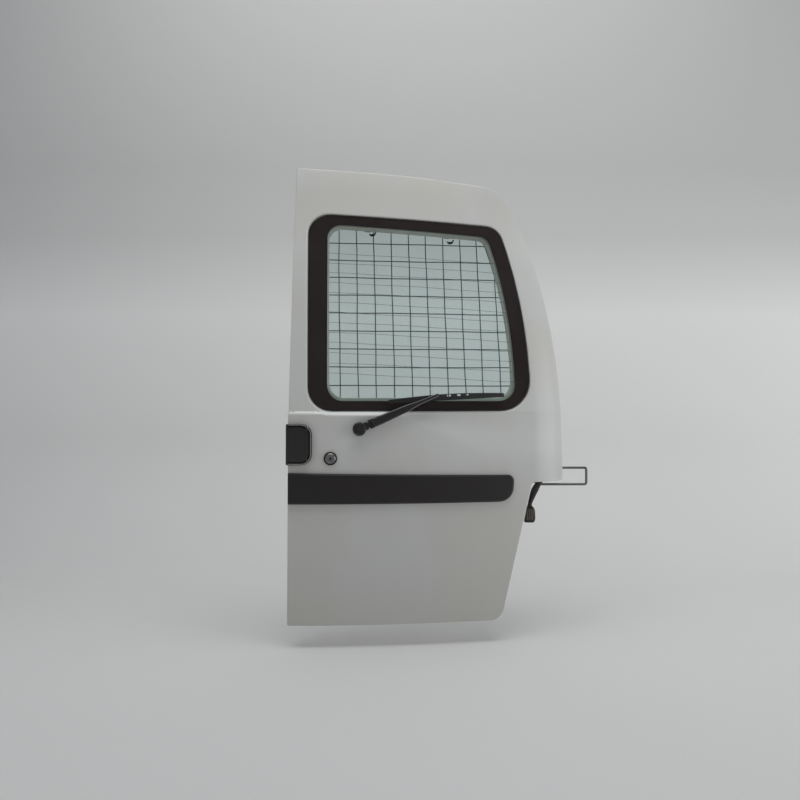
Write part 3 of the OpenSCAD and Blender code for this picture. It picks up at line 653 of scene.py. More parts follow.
def palette():
    """The materials, made once from the scene's colours."""
    if PALETTE:
        return PALETTE
    c = bpy.context.scene.door_colours
    PALETTE.update(
        # the outer paint has painted shade at its foot and head and a painted highlight along the crease
        paint=material("white paint", c.paint, 0.42, coat=0.2, spread=0.05, dirt=1.0, painted_shading=True),
        inner=material("inner paint", c.inner, 0.5, spread=0.1, dirt=1.0),
        plastic=material("black plastic", c.plastic, 0.42, grain=0.25, grain_scale=1400),
        strip=material("strip plastic", c.strip, 0.5, grain=0.35, grain_scale=1100, spread=0.15),
        wire=material("guard wire", c.wire, 0.4),
        dull=material("dull steel", (0.34, 0.34, 0.35), 0.5, metal=1.0),
        zinc=material("zinc plate", (0.55, 0.53, 0.46), 0.38, metal=1.0, spread=0.2),
        rubber=material("rubber", (0.02, 0.019, 0.018), 0.65),
        bond=material("bond", (0.012, 0.012, 0.012), 0.6),
        print=material("printed border", (0.086, 0.046, 0.047), 0.5, spread=0.3),
        copper=material("heater line", (0.11, 0.085, 0.08), 0.5),
        gaiter=material("gaiter rubber", (0.036, 0.028, 0.025), 0.55, spread=0.45, dirt=1.0),
        arm=material("wiper paint", (0.03, 0.028, 0.028), 0.36, grain=0.2, grain_scale=1200),
        # light brown rubber for the boot's ribs: a painted highlight
        worn=material("worn rubber", (0.30, 0.25, 0.21), 0.6, spread=0.4, dirt=1.0),
        pale=material("aperture paint", (0.60, 0.53, 0.50), 0.5, spread=0.1, dirt=1.0),
        # light grey plastic: the trim sockets' own colour, and a painted highlight for the lines on the wiper arm and
        # bezel
        rub=material("rubbed plastic", (0.36, 0.36, 0.36), 0.35),
        rodded=material("drawn rod", (0.20, 0.20, 0.21), 0.3, metal=1.0),
        # a lighter copy of the aperture paint: a painted highlight on the aperture's edge
        lip=material("aperture edge painted highlight", (1.0, 0.84, 0.80), 0.5),
        chrome=material("worn chrome", (0.62, 0.62, 0.61), 0.36, metal=1.0),
        glass=glass_material("window glass", c.tint),
    )
    # the print is fired onto the glass, so it has no shine of its own
    PALETTE["print"].node_tree.nodes["Principled BSDF"].inputs["Specular IOR Level"].default_value = 0.0
    return PALETTE


class DOOR_OT_skin(bpy.types.Operator):
    """Outer skin with its folded hem, crease and window opening."""

    bl_idname = "door.skin"
    bl_label = "Outer skin"

    def execute(self, context):
        top_roll = context.scene.door_sizes.edge_r * 1000
        edge, inset = Loop(leaf, 8), 14
        base, deep = edge.at(0), edge.at(inset)
        # the edge's radius: 2 mm, growing to the top roll along the top and the shoulder
        high = smooth((base[:, 1] - 1120) / 60) * smooth((base[:, 0] - 8) / 40)
        radius = 2 + (top_roll - 2) * high
        rolled = np.maximum(3.0, radius)

        class Rim:
            """The leaf's edge drawn in by a share of its radius and some more."""

            def at(self, share, more=0.0):
                return base + (deep - base) * (radius * share + more)[:, None] / inset

        profile = [((1 - math.sin(a), 0), radius * (1 - math.cos(a))) for a in np.linspace(0, math.pi / 2, 6)]
        profile += [((0, 0), rolled), ((0, 0.7), rolled + 0.8), ((0, 2), rolled + 1.1), ((0, 12.5), 3.9),
                    ((0, 13), 3.6), ((0, 13), 3.1), ((0, 12.5), 2.9), ((0, 3), 2.9), ((0, 2.4), 2.2), ((1, 0.6), 1.0)]
        win = Loop(glass_edge, 8, -2)
        win_rim = [(-6.4, 0), (-5.2, 0.15), (-4.0, 0.5), (-3.0, 1.1), (-2.2, 1.9), (-1.8, 2.8), (-1.7, 4.0),
                   (-1.7, 7.0), (-2.1, 7.2), (-2.2, 4.0), (-2.8, 2.6), (-6.4, 0.9)]
        # hole of the handle: left, foot, right, head
        x0, z0, x1, z1 = 18, 437, 42, 513
        box = Loop(lambda d: rounded([(x0 + d, z0 + d, 4), (x1 - d, z0 + d, 4), (x1 - d, z1 - d, 4),
                                      (x0 + d, z1 - d, 4)]), 12)
        round_hole = np.linspace(0, 2 * math.pi, 40, endpoint=False)

        def circle(x, z, r):
            """A round hole drawn in by d: centre + (r - d) (cos a, sin a)."""
            return Loop(lambda d: np.array([(x + (r - d) * math.cos(a), z + (r - d) * math.sin(a))
                                            for a in round_hole]), 50)
        plain = [(0, 0), (0, 0.9)]
        rows = tuple(np.linspace(CREASE_TOP - CREASE_H - 1, CREASE_TOP + 4, 12))
        sheet_body(Body(), [(Rim(), profile, False), (win, win_rim, True), (box, plain, True),
                            (circle(LOCK_X, LOCK_Z, 13.5), plain, True),
                            (circle(WIPER_X, WIPER_Z, 9.3), plain, True)],
                   skin_y, (0, 0.9), 9.0, rows).build(
                       "skin", "paint", "leaf", ["outer_skin"], "white_paint", 60, own_normals=True)
        return {"FINISHED"}


class DOOR_OT_inner(bpy.types.Operator):
    """Inner pressing: pan with rounded corners, stiffening beads and access openings."""

    bl_idname = "door.inner"
    bl_label = "Inner pressing"

    def execute(self, context):
        # the pan's wall: (drawn in, drawn in on the lobe) against depth
        wall = [((22, 58), INNER_Y)]
        wall += [((22 - 6 * math.sin(t), 58 - 6 * math.sin(t)), INNER_Y - 6 * (1 - math.cos(t)))
                 for t in np.linspace(0, math.pi / 2, 5)[1:]]
        wall += [((16, 52), 30.0), ((16, 52), 7.0), ((15.6, 51), 4.4), ((14.6, 49), 3.0), ((12, 40), 2.75),
                 ((3, 3), 2.7), ((3, 3), 1.6), ((12, 40), 1.6), ((16.4, 51.5), 2.6), ((17.2, 53.2), 6.0),
                 ((17.2, 53.2), 46.0), ((22, 58), 50.6)]
        # stiffening beads, rounded bars: height, centre, half lengths and half width
        beads = [(4, 165, 322, 95, 1, 16), (4, 500, 400, 22, 60, 24), (4, 286, 180, 0.5, 100, 13),
                 (4, 60, 420, 1, 60, 18), (4, 300, 1130, 190, 1, 24), (4, 600, 460, 10, 30, 20),
                 (3, 300, 548, 260, 1, 12), (4, 300, 30, 0.1, 0.1, 3)]

        def panel_y(x, z):
            """The skin's form with each bead raised by a smooth step of the distance from its bar."""
            swell = 0
            for high, cx, cz, lx, lz, wide in beads:
                dx, dz = np.maximum(0, np.abs(x - cx) - lx), np.maximum(0, np.abs(z - cz) - lz)
                swell = swell - high * smooth(1 - np.hypot(dx, dz) / wide)
            return skin_y(x, z) + swell
        lip = [(-2.5, 52.0), (-1.0, 51.6), (-0.2, 50.6), (0, 49.0), (0, 44.0), (-1.0, 43.6), (-1.2, 49.0), (-2.5, 50.6)]
        holes = []
        for corners in ([(70, 60, 30), (250, 60, 30), (270, 300, 30), (70, 300, 30)],
                        [(300, 60, 30), (525, 60, 40), (560, 250, 40), (560, 300, 20), (320, 300, 30)],
                        [(120, 350, 25), (430, 350, 25), (430, 510, 40), (120, 510, 25)]):
            def shrink(d, corners=corners):
                """The opening with each corner moved by d towards the middle."""
                mid = np.mean([c[:2] for c in corners], axis=0)
                return rounded([(x - math.copysign(d, x - mid[0]), z - math.copysign(d, z - mid[1]), r)
                                for x, z, r in corners])
            holes.append((Loop(shrink, 9), lip, True))
        win = [(-4.0, 52.0), (-3.0, 51.6), (-2.2, 50.6), (-2.0, 49.0), (-2.0, 46.0), (-3.0, 46.0), (-3.2, 49.0),
               (-4.0, 50.6)]
        holes.append((Loop(aperture_edge, 9), win, True))
        b = sheet_body(Body(), [(Loop(leaf, 9), wall, False)] + holes, panel_y, (INNER_Y, 50.6), 9.0)
        # the pan is seen from inside the van, so its faces are turned over
        b.f = [tuple(reversed(f)) for f in b.f]
        b.build("inner_pressing", "inner", "leaf", ["inner_panel"], "inner_paint", 50)
        return {"FINISHED"}


def window_band(section):
    """Carries a closed section round the window. Each corner of it is an outline of any_edge, how
    far that is drawn in and the depth behind the glass's own surface."""
    family = Loop(any_edge, 9, (0, 0))
    rings = [lifted(family.at(kind, d), depth, upper_y) for kind, d, depth in section]
    m, s = len(rings[0]), len(section)
    return np.concatenate(rings), [(k * m + j, (k + 1) % s * m + j, (k + 1) % s * m + (j + 1) % m, k * m + (j + 1) % m)
                                   for k in range(s) for j in range(m)]


class DOOR_OT_window(bpy.types.Operator):
    """Glass with its printed border, heater lines, adhesive bead and the pressed frame behind."""

    bl_idname = "door.window"
    bl_label = "Window"

    def execute(self, context):
        edge = [(1.2, 0.5), (0.5, 0.7), (0.1, 1.2), (0, 1.9), (0, 3.1), (0.1, 3.8), (0.5, 4.3), (1.2, 4.5)]
        sheet_body(Body(), [(Loop(glass_edge, 9), edge, False)], upper_y, (0.5, 4.5), 14.0).build(
            "glass", "glass", "leaf", ["window_glass"], "glass", 60, own_normals=True)
        # kinds of outline in any_edge
        pane, border, opening = 0, 1, 2
        Body().add(*window_band([(pane, 0.6, 5.1), (border, 0, 5.1), (border, 0, 4.6), (pane, 0.6, 4.6)])).build(
            "printed_border", "print", "leaf", ["window_border"], "print", 30)
        Body().add(*window_band([(pane, 8.2, 8.2), (pane, 19.8, 8.2), (pane, 19.8, 5.6), (pane, 8.2, 5.6)])).build(
            "adhesive_bead", "bond", "leaf", ["window_bond"], "bond", 30)

        # heater lines: level prints that fall to the hinge side and wander a little
        half = context.scene.door_sizes.heater_w * 500
        count, first, pitch = 13, 998, 27.9
        near, far = 4.56, 4.62
        lines, hole = Body(), border_edge(2)
        for k in range(count):
            xs = np.linspace(60, 640, 146)
            pts = np.stack([xs, first - pitch * k - 0.045 * (xs - 80) + 0.8 * np.sin(xs / 41 + 1.9 * k)], 1)
            pts = pts[inside(pts, hole)]
            y = upper_y(pts[:, 0], pts[:, 1])
            lines.add(*loft([[(x, yy + near, z - half), (x, yy + near, z + half), (x, yy + far, z + half),
                              (x, yy + far, z - half)] for (x, z), yy in zip(pts, y)]))
        lines.build("heater_lines", "copper", "leaf", (), "print", 30)

        # pressed frame: outer wall, floor behind the adhesive and the wall of the aperture
        frame_section = [
            (pane, -4.6, 1.7), (pane, -5.9, 1.7), (pane, -6, 10), (opening, -2.6, 10), (opening, -1.6, 11.2),
            (opening, -1.5, 13), (opening, -1.5, 50), (opening, -2.4, 51.6), (opening, -4.5, 52.3), (opening, -4.5, 53),
            (opening, -2, 52.8), (opening, -0.4, 51.4), (opening, 0, 49), (opening, 0, 10.5), (opening, -0.8, 8.9),
            (opening, -2.5, 8.5), (pane, -4.6, 8.5)]
        Body().add(*window_band(frame_section)).build(
            "window_frame", "pale", "leaf", ["window_frame"], "inner_paint", 35)
        # a painted highlight: a thin rod round the aperture's edge in a lighter copy of the aperture paint
        lip = Loop(lambda d: aperture_edge(-1.2), 9).at(0)
        Body().add(*rod(lifted(lip, 10.6, upper_y), 1.4, 8, closed=True)).build(
            "aperture_lip_highlight", "lip", "leaf", (), "inner_paint", 60)
        return {"FINISHED"}


class DOOR_OT_guard(bpy.types.Operator):
    """Wire guard of round wires welded into a rod frame, with its clips."""

    bl_idname = "door.guard"
    bl_label = "Wire guard"

    def execute(self, context):
        r = context.scene.door_sizes.wire_d * 500
        rim = Loop(lambda d: aperture_edge(-11), 12).at(0)
        rim[:, 0] += 3.5 * smooth((rim[:, 0] - 420) / 80)
        # from the door's x and z to distances in the guard's own plane
        rim = (rim - (GUARD_X, GUARD_Z)) / (math.cos(GUARD_YAW), math.cos(GUARD_TILT))
        b = Body().add(*rod(lifted(rim, 3.0), 2.9, 14, closed=True), place=AT_GUARD)

        def crossings(axis, value):
            """The least and the greatest place at which a straight wire meets the rim."""
            a, c, other = rim, np.roll(rim, -1, 0), 1 - axis
            cut = (a[:, axis] - value) * (c[:, axis] - value) < 0
            a, c = a[cut], c[cut]
            out = a[:, other] + (c[:, other] - a[:, other]) * (value - a[:, axis]) / (c[:, axis] - a[:, axis])
            return out.min(), out.max()

        # upright wires, then level ones: count, first, pitch and depth, then size, length and
        # step of the two sines that each wire wanders by
        points, past_rim = 25, 1.5
        for axis, (count, first, pitch, depth), waves in (
                (0, (10, 30.5, 50.2, 2.2), ((0.7, 70, 2.1), (0.35, 23, 1))),
                (1, (9, 44.5, 52.5, 5.0), ((0.6, 80, 1.3), (0.3, 27, 2)))):
            for k in range(count):
                at = first + k * pitch
                low, high = crossings(axis, at)
                along = np.linspace(low - past_rim, high + past_rim, points)
                wander = at + sum(size * np.sin(along / long + step * k) for size, long, step in waves)
                wire = np.stack([along, wander] if axis else [wander, along], 1)
                b.add(*rod(lifted(wire, depth), r, 10), place=AT_GUARD)
        b.build("wire_guard", "wire", "leaf", ["wire_guard"], "wire", 60)

        # bent wire hooks that hold the guard at the head of the opening
        hooks = Body()
        for x, z in ((218, 1062), (442, 1044)):
            d = float(cad_y(x, z)) + 47
            for k in (0, 1):
                hooks.add(*rod(bent([(x - 11 + 2 * k, d, z + 3 - 3 * k), (x - 6, d, z - 2 + 3 * k),
                                     (x + 2, d, z - 2 + 3 * k), (x + 6, d, z + 4), (x + 7, d, z + 9)], 2.0), 1.9, 10))
        hooks.build("guard_hooks", "rubber", "leaf", (), "rubber", 60)
        return {"FINISHED"}


class DOOR_OT_strip(bpy.types.Operator):
    """Rubbing strip: a grained moulding with round edges and a rounded hinge-side end."""

    bl_idname = "door.strip"
    bl_label = "Rubbing strip"

    def execute(self, context):
        soft = context.scene.door_sizes.strip_r * 1000
        face, foot = -11, -0.35

        def outline(d):
            """The moulding seen from outside, drawn in by d."""
            return rounded([(1 + d, 316.5 + d, max(0.6, 2 - d)), (600 - d, 316.5 + d, max(2, 40 - d)),
                            (604.5 - d, 388 - d, max(2, 17 - d)), (1 + d, 398 - d, max(0.6, 2 - d))])
        profile = [(soft, face)] + [(soft * (1 - math.sin(a)), face + soft * (1 - math.cos(a)))
                                    for a in np.linspace(0, math.pi / 2, 7)[1:]]
        profile += [(0, -1.2), (0.6, -0.4), (2, foot)]
        sheet_body(Body(), [(Loop(outline, 8), profile, False)], skin_y, (face, foot), 10.0).build(
            "rubbing_strip", "strip", "leaf", ["rubbing_strip"], "strip", 60, own_normals=True)
        return {"FINISHED"}


class DOOR_OT_wiper(bpy.types.Operator):
    """Wiper: cap, knuckle, sprung arm, blade bridge and rubber lip."""

    bl_idname = "door.wiper"
    bl_label = "Wiper"

    def execute(self, context):
        cap = Body().add(*lathe([(0, -8), (16.6, -8), (17.8, -9), (18, -10.5), (18, -22), (17.4, -24.4), (16, -26),
                                 (13.6, -26.9), (13, -26.2), (11.8, -26.2), (11.2, -27), (8, -27.7), (4, -28),
                                 (0, -28)]), place=AT_WIPER)
        # the cap's cover has ribs like spokes
        ribs = 12
        for k in range(ribs):
            cap.add(*brick(6.2, 11, -28.3, -26.6, -0.7, 0.7), place=AT_WIPER @ turn("Y", 360 / ribs * k))
        neck = [[(x, y, z) for y, z in ((-20 + t, -w), (-10, -w), (-10, w), (-20 + t, w))]
                for x, w, t in ((6, 10.6, 0), (22.5, 10.2, 0.2), (24.5, 7.1, 0.4), (32, 6.5, 1))]
        cap.add(*loft(neck), place=AT_ARM)
        pin_x, pin_y = 34, -17
        cap.add(*lathe([(0, 6.8), (4.6, 6.8), (5.2, 6.2), (5.2, -6.2), (4.6, -6.8), (0, -6.8)], 28),
                place=AT_ARM @ moved(pin_x, pin_y, 0) @ turn("X", 90))
        cap.build("wiper_cap", "plastic", "wiper_head", ["wiper_cap"], "black_plastic", 35)

        # stations along the arm: distance, width, outer y, inner y; its edges are rounded in
        # proportion to its width, which is 23 mm at the widest
        widest = 23
        stations = [(40.5, 22.6, -26.6, -11.4), (60, 23, -27.6, -12.6), (100, 20.5, -29, -16.2),
                    (132, 18.8, -29.8, -19.4), (144, 17.6, -30, -20.3), (156, 14.2, -30.6, -21.3),
                    (172, 11, -31.4, -22.5), (220, 8.2, -33, -26.4), (226.5, 7.4, -33, -27), (228, 5.4, -32.6, -27.4)]
        edge = [(4.4, 0), (1.8, 0.8), (0.5, 2.4), (0, 4.6)]
        rings = []
        for x, w, out, inn in stations:
            h, e = w / 2, w / widest
            near = [(x, out + y * e, h - z * e) for y, z in edge]
            far = [(x, y, -z) for x, y, z in near[::-1]]
            rings.append(([(x, inn, -h), (x, inn, h)] + near + far)[::-1])
        arm = Body().add(*loft(rings), place=AT_ARM)
        cheek = rounded([(27, -24.5, 5), (27, -12.5, 5), (42, -11.6, 0.5), (42, -26.2, 0.5)], 6)
        for z0, z1 in ((-11.3, -7.7), (7.7, 11.3)):
            arm.add(*loft([[(x, y, z) for x, y in cheek] for z in (z0, z1)]), place=AT_ARM)
            arm.add(*drum(6.4, -2.2, 2.2, 0.5, 28),
                    place=AT_ARM @ moved(pin_x, pin_y, math.copysign(9.7, z0)) @ turn("X", 90))
        # painted highlights: thin light grey rods along the arm's two edges
        shine = Body()
        for k, first in ((1, 1), (-1, 4)):
            path = [(x, out + 0.9 * w / widest, k * (w / 2 - 2.6 * w / widest)) for x, w, out, _ in stations[first:-1]]
            shine.add(*rod(path, 0.5, 8), place=AT_ARM)
        shine.build("arm_edge_highlights", "rub", "wiper_blade_arm", (), "black_metal", 60)
        arm.build("wiper_arm", "arm", "wiper_blade_arm", ["wiper_arm"], "black_metal", 35)

        # blade: s along it from 0 to 1, w across it in mm, d off the skin
        a, c = np.array([265.0, 584.5]), np.array([577.0, 603.5])
        long = float(np.linalg.norm(c - a))
        along = (c - a) / long
        across = np.array([-along[1], along[0]])

        def on_blade(s, w, d):
            """A point at a + (c - a) s + across w in x-z, d outside the CAD skin there."""
            s, w, d = np.broadcast_arrays(np.asarray(s, float), np.asarray(w, float), np.asarray(d, float))
            x = a[0] + (c[0] - a[0]) * s + across[0] * w
            z = a[1] + (c[1] - a[1]) * s + across[1] * w
            return np.stack([x, cad_y(x, z) - d, z], -1)

        def crest(s):
            """The bridge's upper edge: 5.4 mm at the ends and 12.4 mm in the middle."""
            return 5.4 + 7.0 * (1 - np.abs(2 * s - 1) ** 1.7)

        ss = np.linspace(0.0, 1.0, 44)
        outline = np.array([(s * long, -3.8 - 1.6 * s) for s in ss] + [(s * long, crest(s)) for s in ss[::-1]])
        slots = []
        for s0, s1 in ((0.50, 0.535), (0.588, 0.62), (0.662, 0.69)):
            low, top, soft = 5.0, crest((s0 + s1) / 2) - 2.2, 1.6
            slots.append(rounded([(s0 * long, low, soft), (s1 * long, low, soft), (s1 * long, top, soft),
                                  (s0 * long, top, soft)], 4))
        pts, tris = filled(outline, slots, 4.0)
        s = pts[:, 0] / long
        hump = 12.6 + 3.4 + (1 - (2 * s - 1) ** 2) * 4
        top = on_blade(s, pts[:, 1], hump - 0.03 * np.abs(pts[:, 1] - 3) ** 1.6)
        low = on_blade(s, pts[:, 1], 9.3)
        n, at = len(pts), 0
        faces = [tuple(t) for t in tris] + [(t[0] + n, t[2] + n, t[1] + n) for t in tris]
        for loop, hole in [(outline, False)] + [(h, True) for h in slots]:
            m = len(loop)
            for j in range(m):
                k = (j + 1) % m
                q = (at + j + n, at + k + n, at + k, at + j)
                faces.append(q[::-1] if hole else q)
            at += m
        bridge = Body().add(np.concatenate([top, low]), faces)
        bridge.add(*brick(184, 210, -23.4, -14, -7.5, 7.5), place=AT_ARM)
        bridge.add(*brick(190, 204, -24.6, -12, -8.6, 8.6), place=AT_ARM)
        bridge.build("blade_bridge", "plastic", "wiper_blade_arm", ["blade_bridge"], "black_plastic", 30)

        # the rubber's section (across, off the skin), from the claws' channel to the lip
        section = [(-3.2, 9.0), (-3.2, 7.4), (-1.0, 7.0), (-1.0, 6.4), (-2.2, 6.2), (-2.2, 5.2), (-0.5, 4.8),
                   (-0.35, 3.0)]
        section = np.array(section + [(-w, d) for w, d in section[::-1]])
        lip = Body().add(*loft([on_blade(t, *section[::-1].T) for t in np.linspace(0, 1, 60)]))
        for t in (0.05, 0.27, 0.73, 0.95):
            lip.add(*loft([on_blade(t + e, [-4, -4, 4, 4], [5.6, 9.6, 9.6, 5.6]) for e in (-0.008, 0.008)]))
        lip.build("wiper_rubber", "rubber", "wiper_blade_arm", ["blade_rubber"], "rubber", 30)
        return {"FINISHED"}


class DOOR_OT_handle(bpy.types.Operator):
    """Pull handle: bezel and the sprung flap."""

    bl_idname = "door.handle"
    bl_label = "Handle"

    def execute(self, context):
        arc = np.linspace(0, math.pi / 2, 6)

        def rolled(r, face):
            """An edge rolled back by a quarter circle from the face."""
            return [(r * (1 - math.sin(a)), face + r * (1 - math.cos(a))) for a in arc]

        def outer(d):
            """The bezel's outline drawn in by d."""
            return rounded([(-3.6 + d, -54 + d, max(0.6, 4 - d)), (64 - d, -54 + d, 29 - d), (64 - d, 54 - d, 29 - d),
                            (-3.6 + d, 54 - d, max(0.6, 4 - d))])

        def well(d):
            """The bezel's opening widened by d."""
            return rounded([(0.4 - d, -48 - d, 1.5), (60 + d, -48 - d, 24), (60 + d, 48 + d, 24),
                            (0.4 - d, 48 + d, 1.5)])
        inner = [(0.8, -14), (0.3, -13.7), (0, -13), (0, -2.4), (0, -0.3)]
        ring = sheet_body(Body(), [(Loop(outer, 6), rolled(2.2, -14) + [(0, -1.5), (0.6, -0.3)], False),
                                   (Loop(well, 6), inner, True)],
                          lambda x, z: 0 * x, (-14, -0.3), 6.0, place=AT_HANDLE)
        ring.add(*slab(rounded([(0.8, -49, 1), (61, -49, 24), (61, 49, 24), (0.8, 49, 1)]), -2.3, -0.4),
                 place=AT_HANDLE)
        ring.add(*brick(20, 40, -1, 13, -36, 36), place=AT_HANDLE)
        ring.build("handle_bezel", "plastic", "leaf", ["handle_bezel"], "black_plastic", 35)

        # a painted highlight: a thin light grey line round the bezel's face
        path = rounded([(1, -51.4, 3), (61.4, -51.4, 26.4), (61.4, 51.4, 26.4), (1, 51.4, 3)], 10)
        path = np.roll(path, -1, 0)
        Body().add(*rod(lifted(path[path[:, 0] > 2], -14.3), 0.75, 8), place=AT_HANDLE).build(
            "bezel_highlight_line", "rub", "leaf", (), "black_plastic", 60)

        def face(d):
            """The flap's outline drawn in by d."""
            return rounded([(-3.6 + d, -47 + d, 3), (57.5 - d, -47 + d, 22 - d), (57.5 - d, 47 - d, 22 - d),
                            (-3.6 + d, 47 - d, 3)])

        def hollow(x, z):
            """The flap's face is a little hollow, and falls away to its rounded end."""
            return 0.8 * (z / 45) ** 2 + 0.9 * smooth((x - 30) / 30)
        flap = sheet_body(Body(), [(Loop(face, 6), rolled(3, -13.6) + [(0, -8), (1.2, -5), (6, -4)], False)],
                          hollow, (-13.6, -4), 6.0, place=AT_HANDLE)
        flap.add(*brick(-3.6, -0.8, -10, 8, -41, 41), place=AT_HANDLE)
        flap.build("handle_flap", "plastic", "handle", ["handle_flap"], "black_plastic", 35)
        return {"FINISHED"}


class DOOR_OT_lock(bpy.types.Operator):
    """Lock: ring on the skin and the plug with its key slot, drawn as painted shade."""

    bl_idname = "door.lock"
    bl_label = "Lock"

    def execute(self, context):
        def turned(profile, n, *piece):
            """A turned piece of the lock."""
            Body().add(*lathe(profile, n), place=AT_LOCK).build(*piece)

        turned([(13.2, 34), (13.2, -0.3), (15.85, -0.3), (15.75, -1.2), (15.2, -1.9), (13.9, -3.1), (12.7, -4.3),
                (12.0, -4.8), (11.4, -4.7), (11.05, -4.2), (11.05, 30), (13.2, 34)], 64,
               "lock_ring", "chrome", "leaf", ["lock_housing"], "black_plastic", 35)
        turned([(15.9, -0.3), (17.3, -0.3), (17.5, -0.8), (17.5, -3.6), (17.1, -4.6), (16.4, -4.9), (16.05, -4.4),
                (15.9, -0.3)], 64, "lock_seal", "bond", "leaf", (), "rubber", 35)
        turned([(0, 29.5), (11, 29.5), (11, -2.6), (10.2, -3.5), (8, -3.5), (7.5, -2.9), (7, -2.9), (6.6, -3.5),
                (5, -3.5), (3.4, -3.2), (2.9, -1.6), (0, -1.4)], 48,
               "lock_plug", "dull", "lock", ["lock_plug"], "steel", 30)
        # a black disc and bar standing for the keyway's dark opening: painted shade
        slot = Body().add(*drum(2.8, -1.75, -1.35, 0, 24), place=AT_LOCK)
        slot.add(*brick(-1.0, 1.0, -3.6, -1.6, -4.6, 4.6), place=AT_LOCK)
        slot.build("key_slot_shade", "bond", "lock", (), "rubber", 30)
        return {"FINISHED"}


class DOOR_OT_hinge_side(bpy.types.Operator):
    """Check stay, wiring gaiter and plug."""

    bl_idname = "door.hinge_side"
    bl_label = "Stay and gaiter"

    def execute(self, context):
        # a rod bent to a hoop, level with the inner side, whose lower bar turns up behind the gaiter
        sy = float(cad_y(700.0, 400.0)) + 66
        hoop = bent([(664, sy, 384), (664, sy, 398), (823.6, sy, 398), (823.6, sy, 351.2), (686, sy, 351),
                     (664, sy, 372), (664, sy, 385)], 6)
        Body().add(*rod(spaced(hoop, 12), 3.5, 18)).build(
            "check_stay", "rodded", "stay", ["check_stay"], "black_metal", 60)

        # the middle line of the gaiter, in x and z at one depth, from its exit to the boot
        ey = float(cad_y(690.0, 382.0)) + 26
        route = np.array([(690, 377.6), (690, 374), (686, 367.5), (679, 358), (673, 348), (668.5, 336), (665, 324),
                          (662, 312), (659, 301.5), (657, 292), (657, 284.4)], float)
        far = np.concatenate([[0], np.cumsum(np.linalg.norm(np.diff(route, axis=0), axis=1))])
        ss = np.linspace(0, far[-1], 96)
        line = lifted(np.stack([np.interp(ss, far, route[:, 0]), np.interp(ss, far, route[:, 1])], 1), ey)
        # the gaiter is pressed flat: half width in the x-z plane and half depth, with shallow ribs
        t = ss / far[-1]
        rib = 0.45 * np.abs(np.sin(t * math.pi * 16))
        half = np.interp(t, [0, 0.12, 0.22, 0.42, 0.6, 0.8, 1], [6.6, 6.4, 7.4, 9.6, 7.8, 5.6, 5.4]) + rib
        deep = np.interp(t, [0, 0.2, 0.5, 0.8, 1], [6.6, 6.2, 5.6, 5.4, 5.4]) + rib
        shift = np.interp(t, [0, 0.3, 0.75, 1], [0, 0, -4, -3])
        rings = []
        for i, (x, y, z) in enumerate(line):
            d = line[min(i + 1, len(line) - 1)] - line[max(i - 1, 0)]
            side = np.array([-d[2], 0, d[0]]) / math.hypot(d[0], d[2])
            rings.append([np.array([x + shift[i], y + deep[i] * math.sin(a), z]) + half[i] * math.cos(a) * side
                          for a in np.linspace(0, 2 * math.pi, 24, endpoint=False)])
        g = Body().add(*loft(rings)).build("wiring_gaiter", "gaiter", "leaf", ["harness_gaiter"], "rubber", 60)

        def squared(value):
            """Square root with the sign kept, which makes a circle nearly a square."""
            return math.copysign(abs(value) ** 0.5, value)

        # boot: a rounded block that leans, z with left edge, right edge and half depth
        rings = []
        for z, x0, x1, w in ((297.5, 649, 659, 6), (296, 648, 662, 7.6), (291, 647, 666.5, 9), (284, 645.6, 669, 10),
                             (264, 641.4, 670, 11), (257, 640, 669, 11), (253, 639.6, 667, 10.6),
                             (251.4, 640.4, 665, 9.6)):
            mid, h = (x0 + x1) / 2, (x1 - x0) / 2
            ring = [(mid + h * squared(math.cos(a)), ey - w * squared(math.sin(a)), z)
                    for a in np.linspace(0, 2 * math.pi, 36, endpoint=False)]
            rings.append(ring[::-1])
        q = Body().add(*loft(rings)).build("wiring_plug", "gaiter", "leaf", ["harness_plug"], "black_plastic", 40)
        # raised ribs on the boot's face; their light brown colour is a painted highlight
        ribs = Body()
        for k in range(4):
            x = 647.4 + 4.8 * k
            ribs.add(*rod([(x + 2.2, ey - 9.2, 289), (x + 0.6, ey - 10.6, 278), (x - 1.6, ey - 11.1, 259)], 0.95, 8))
        ribs.build("boot_rib_highlights", "worn", "leaf", (), "rubber", 60)
        return {"FINISHED"}


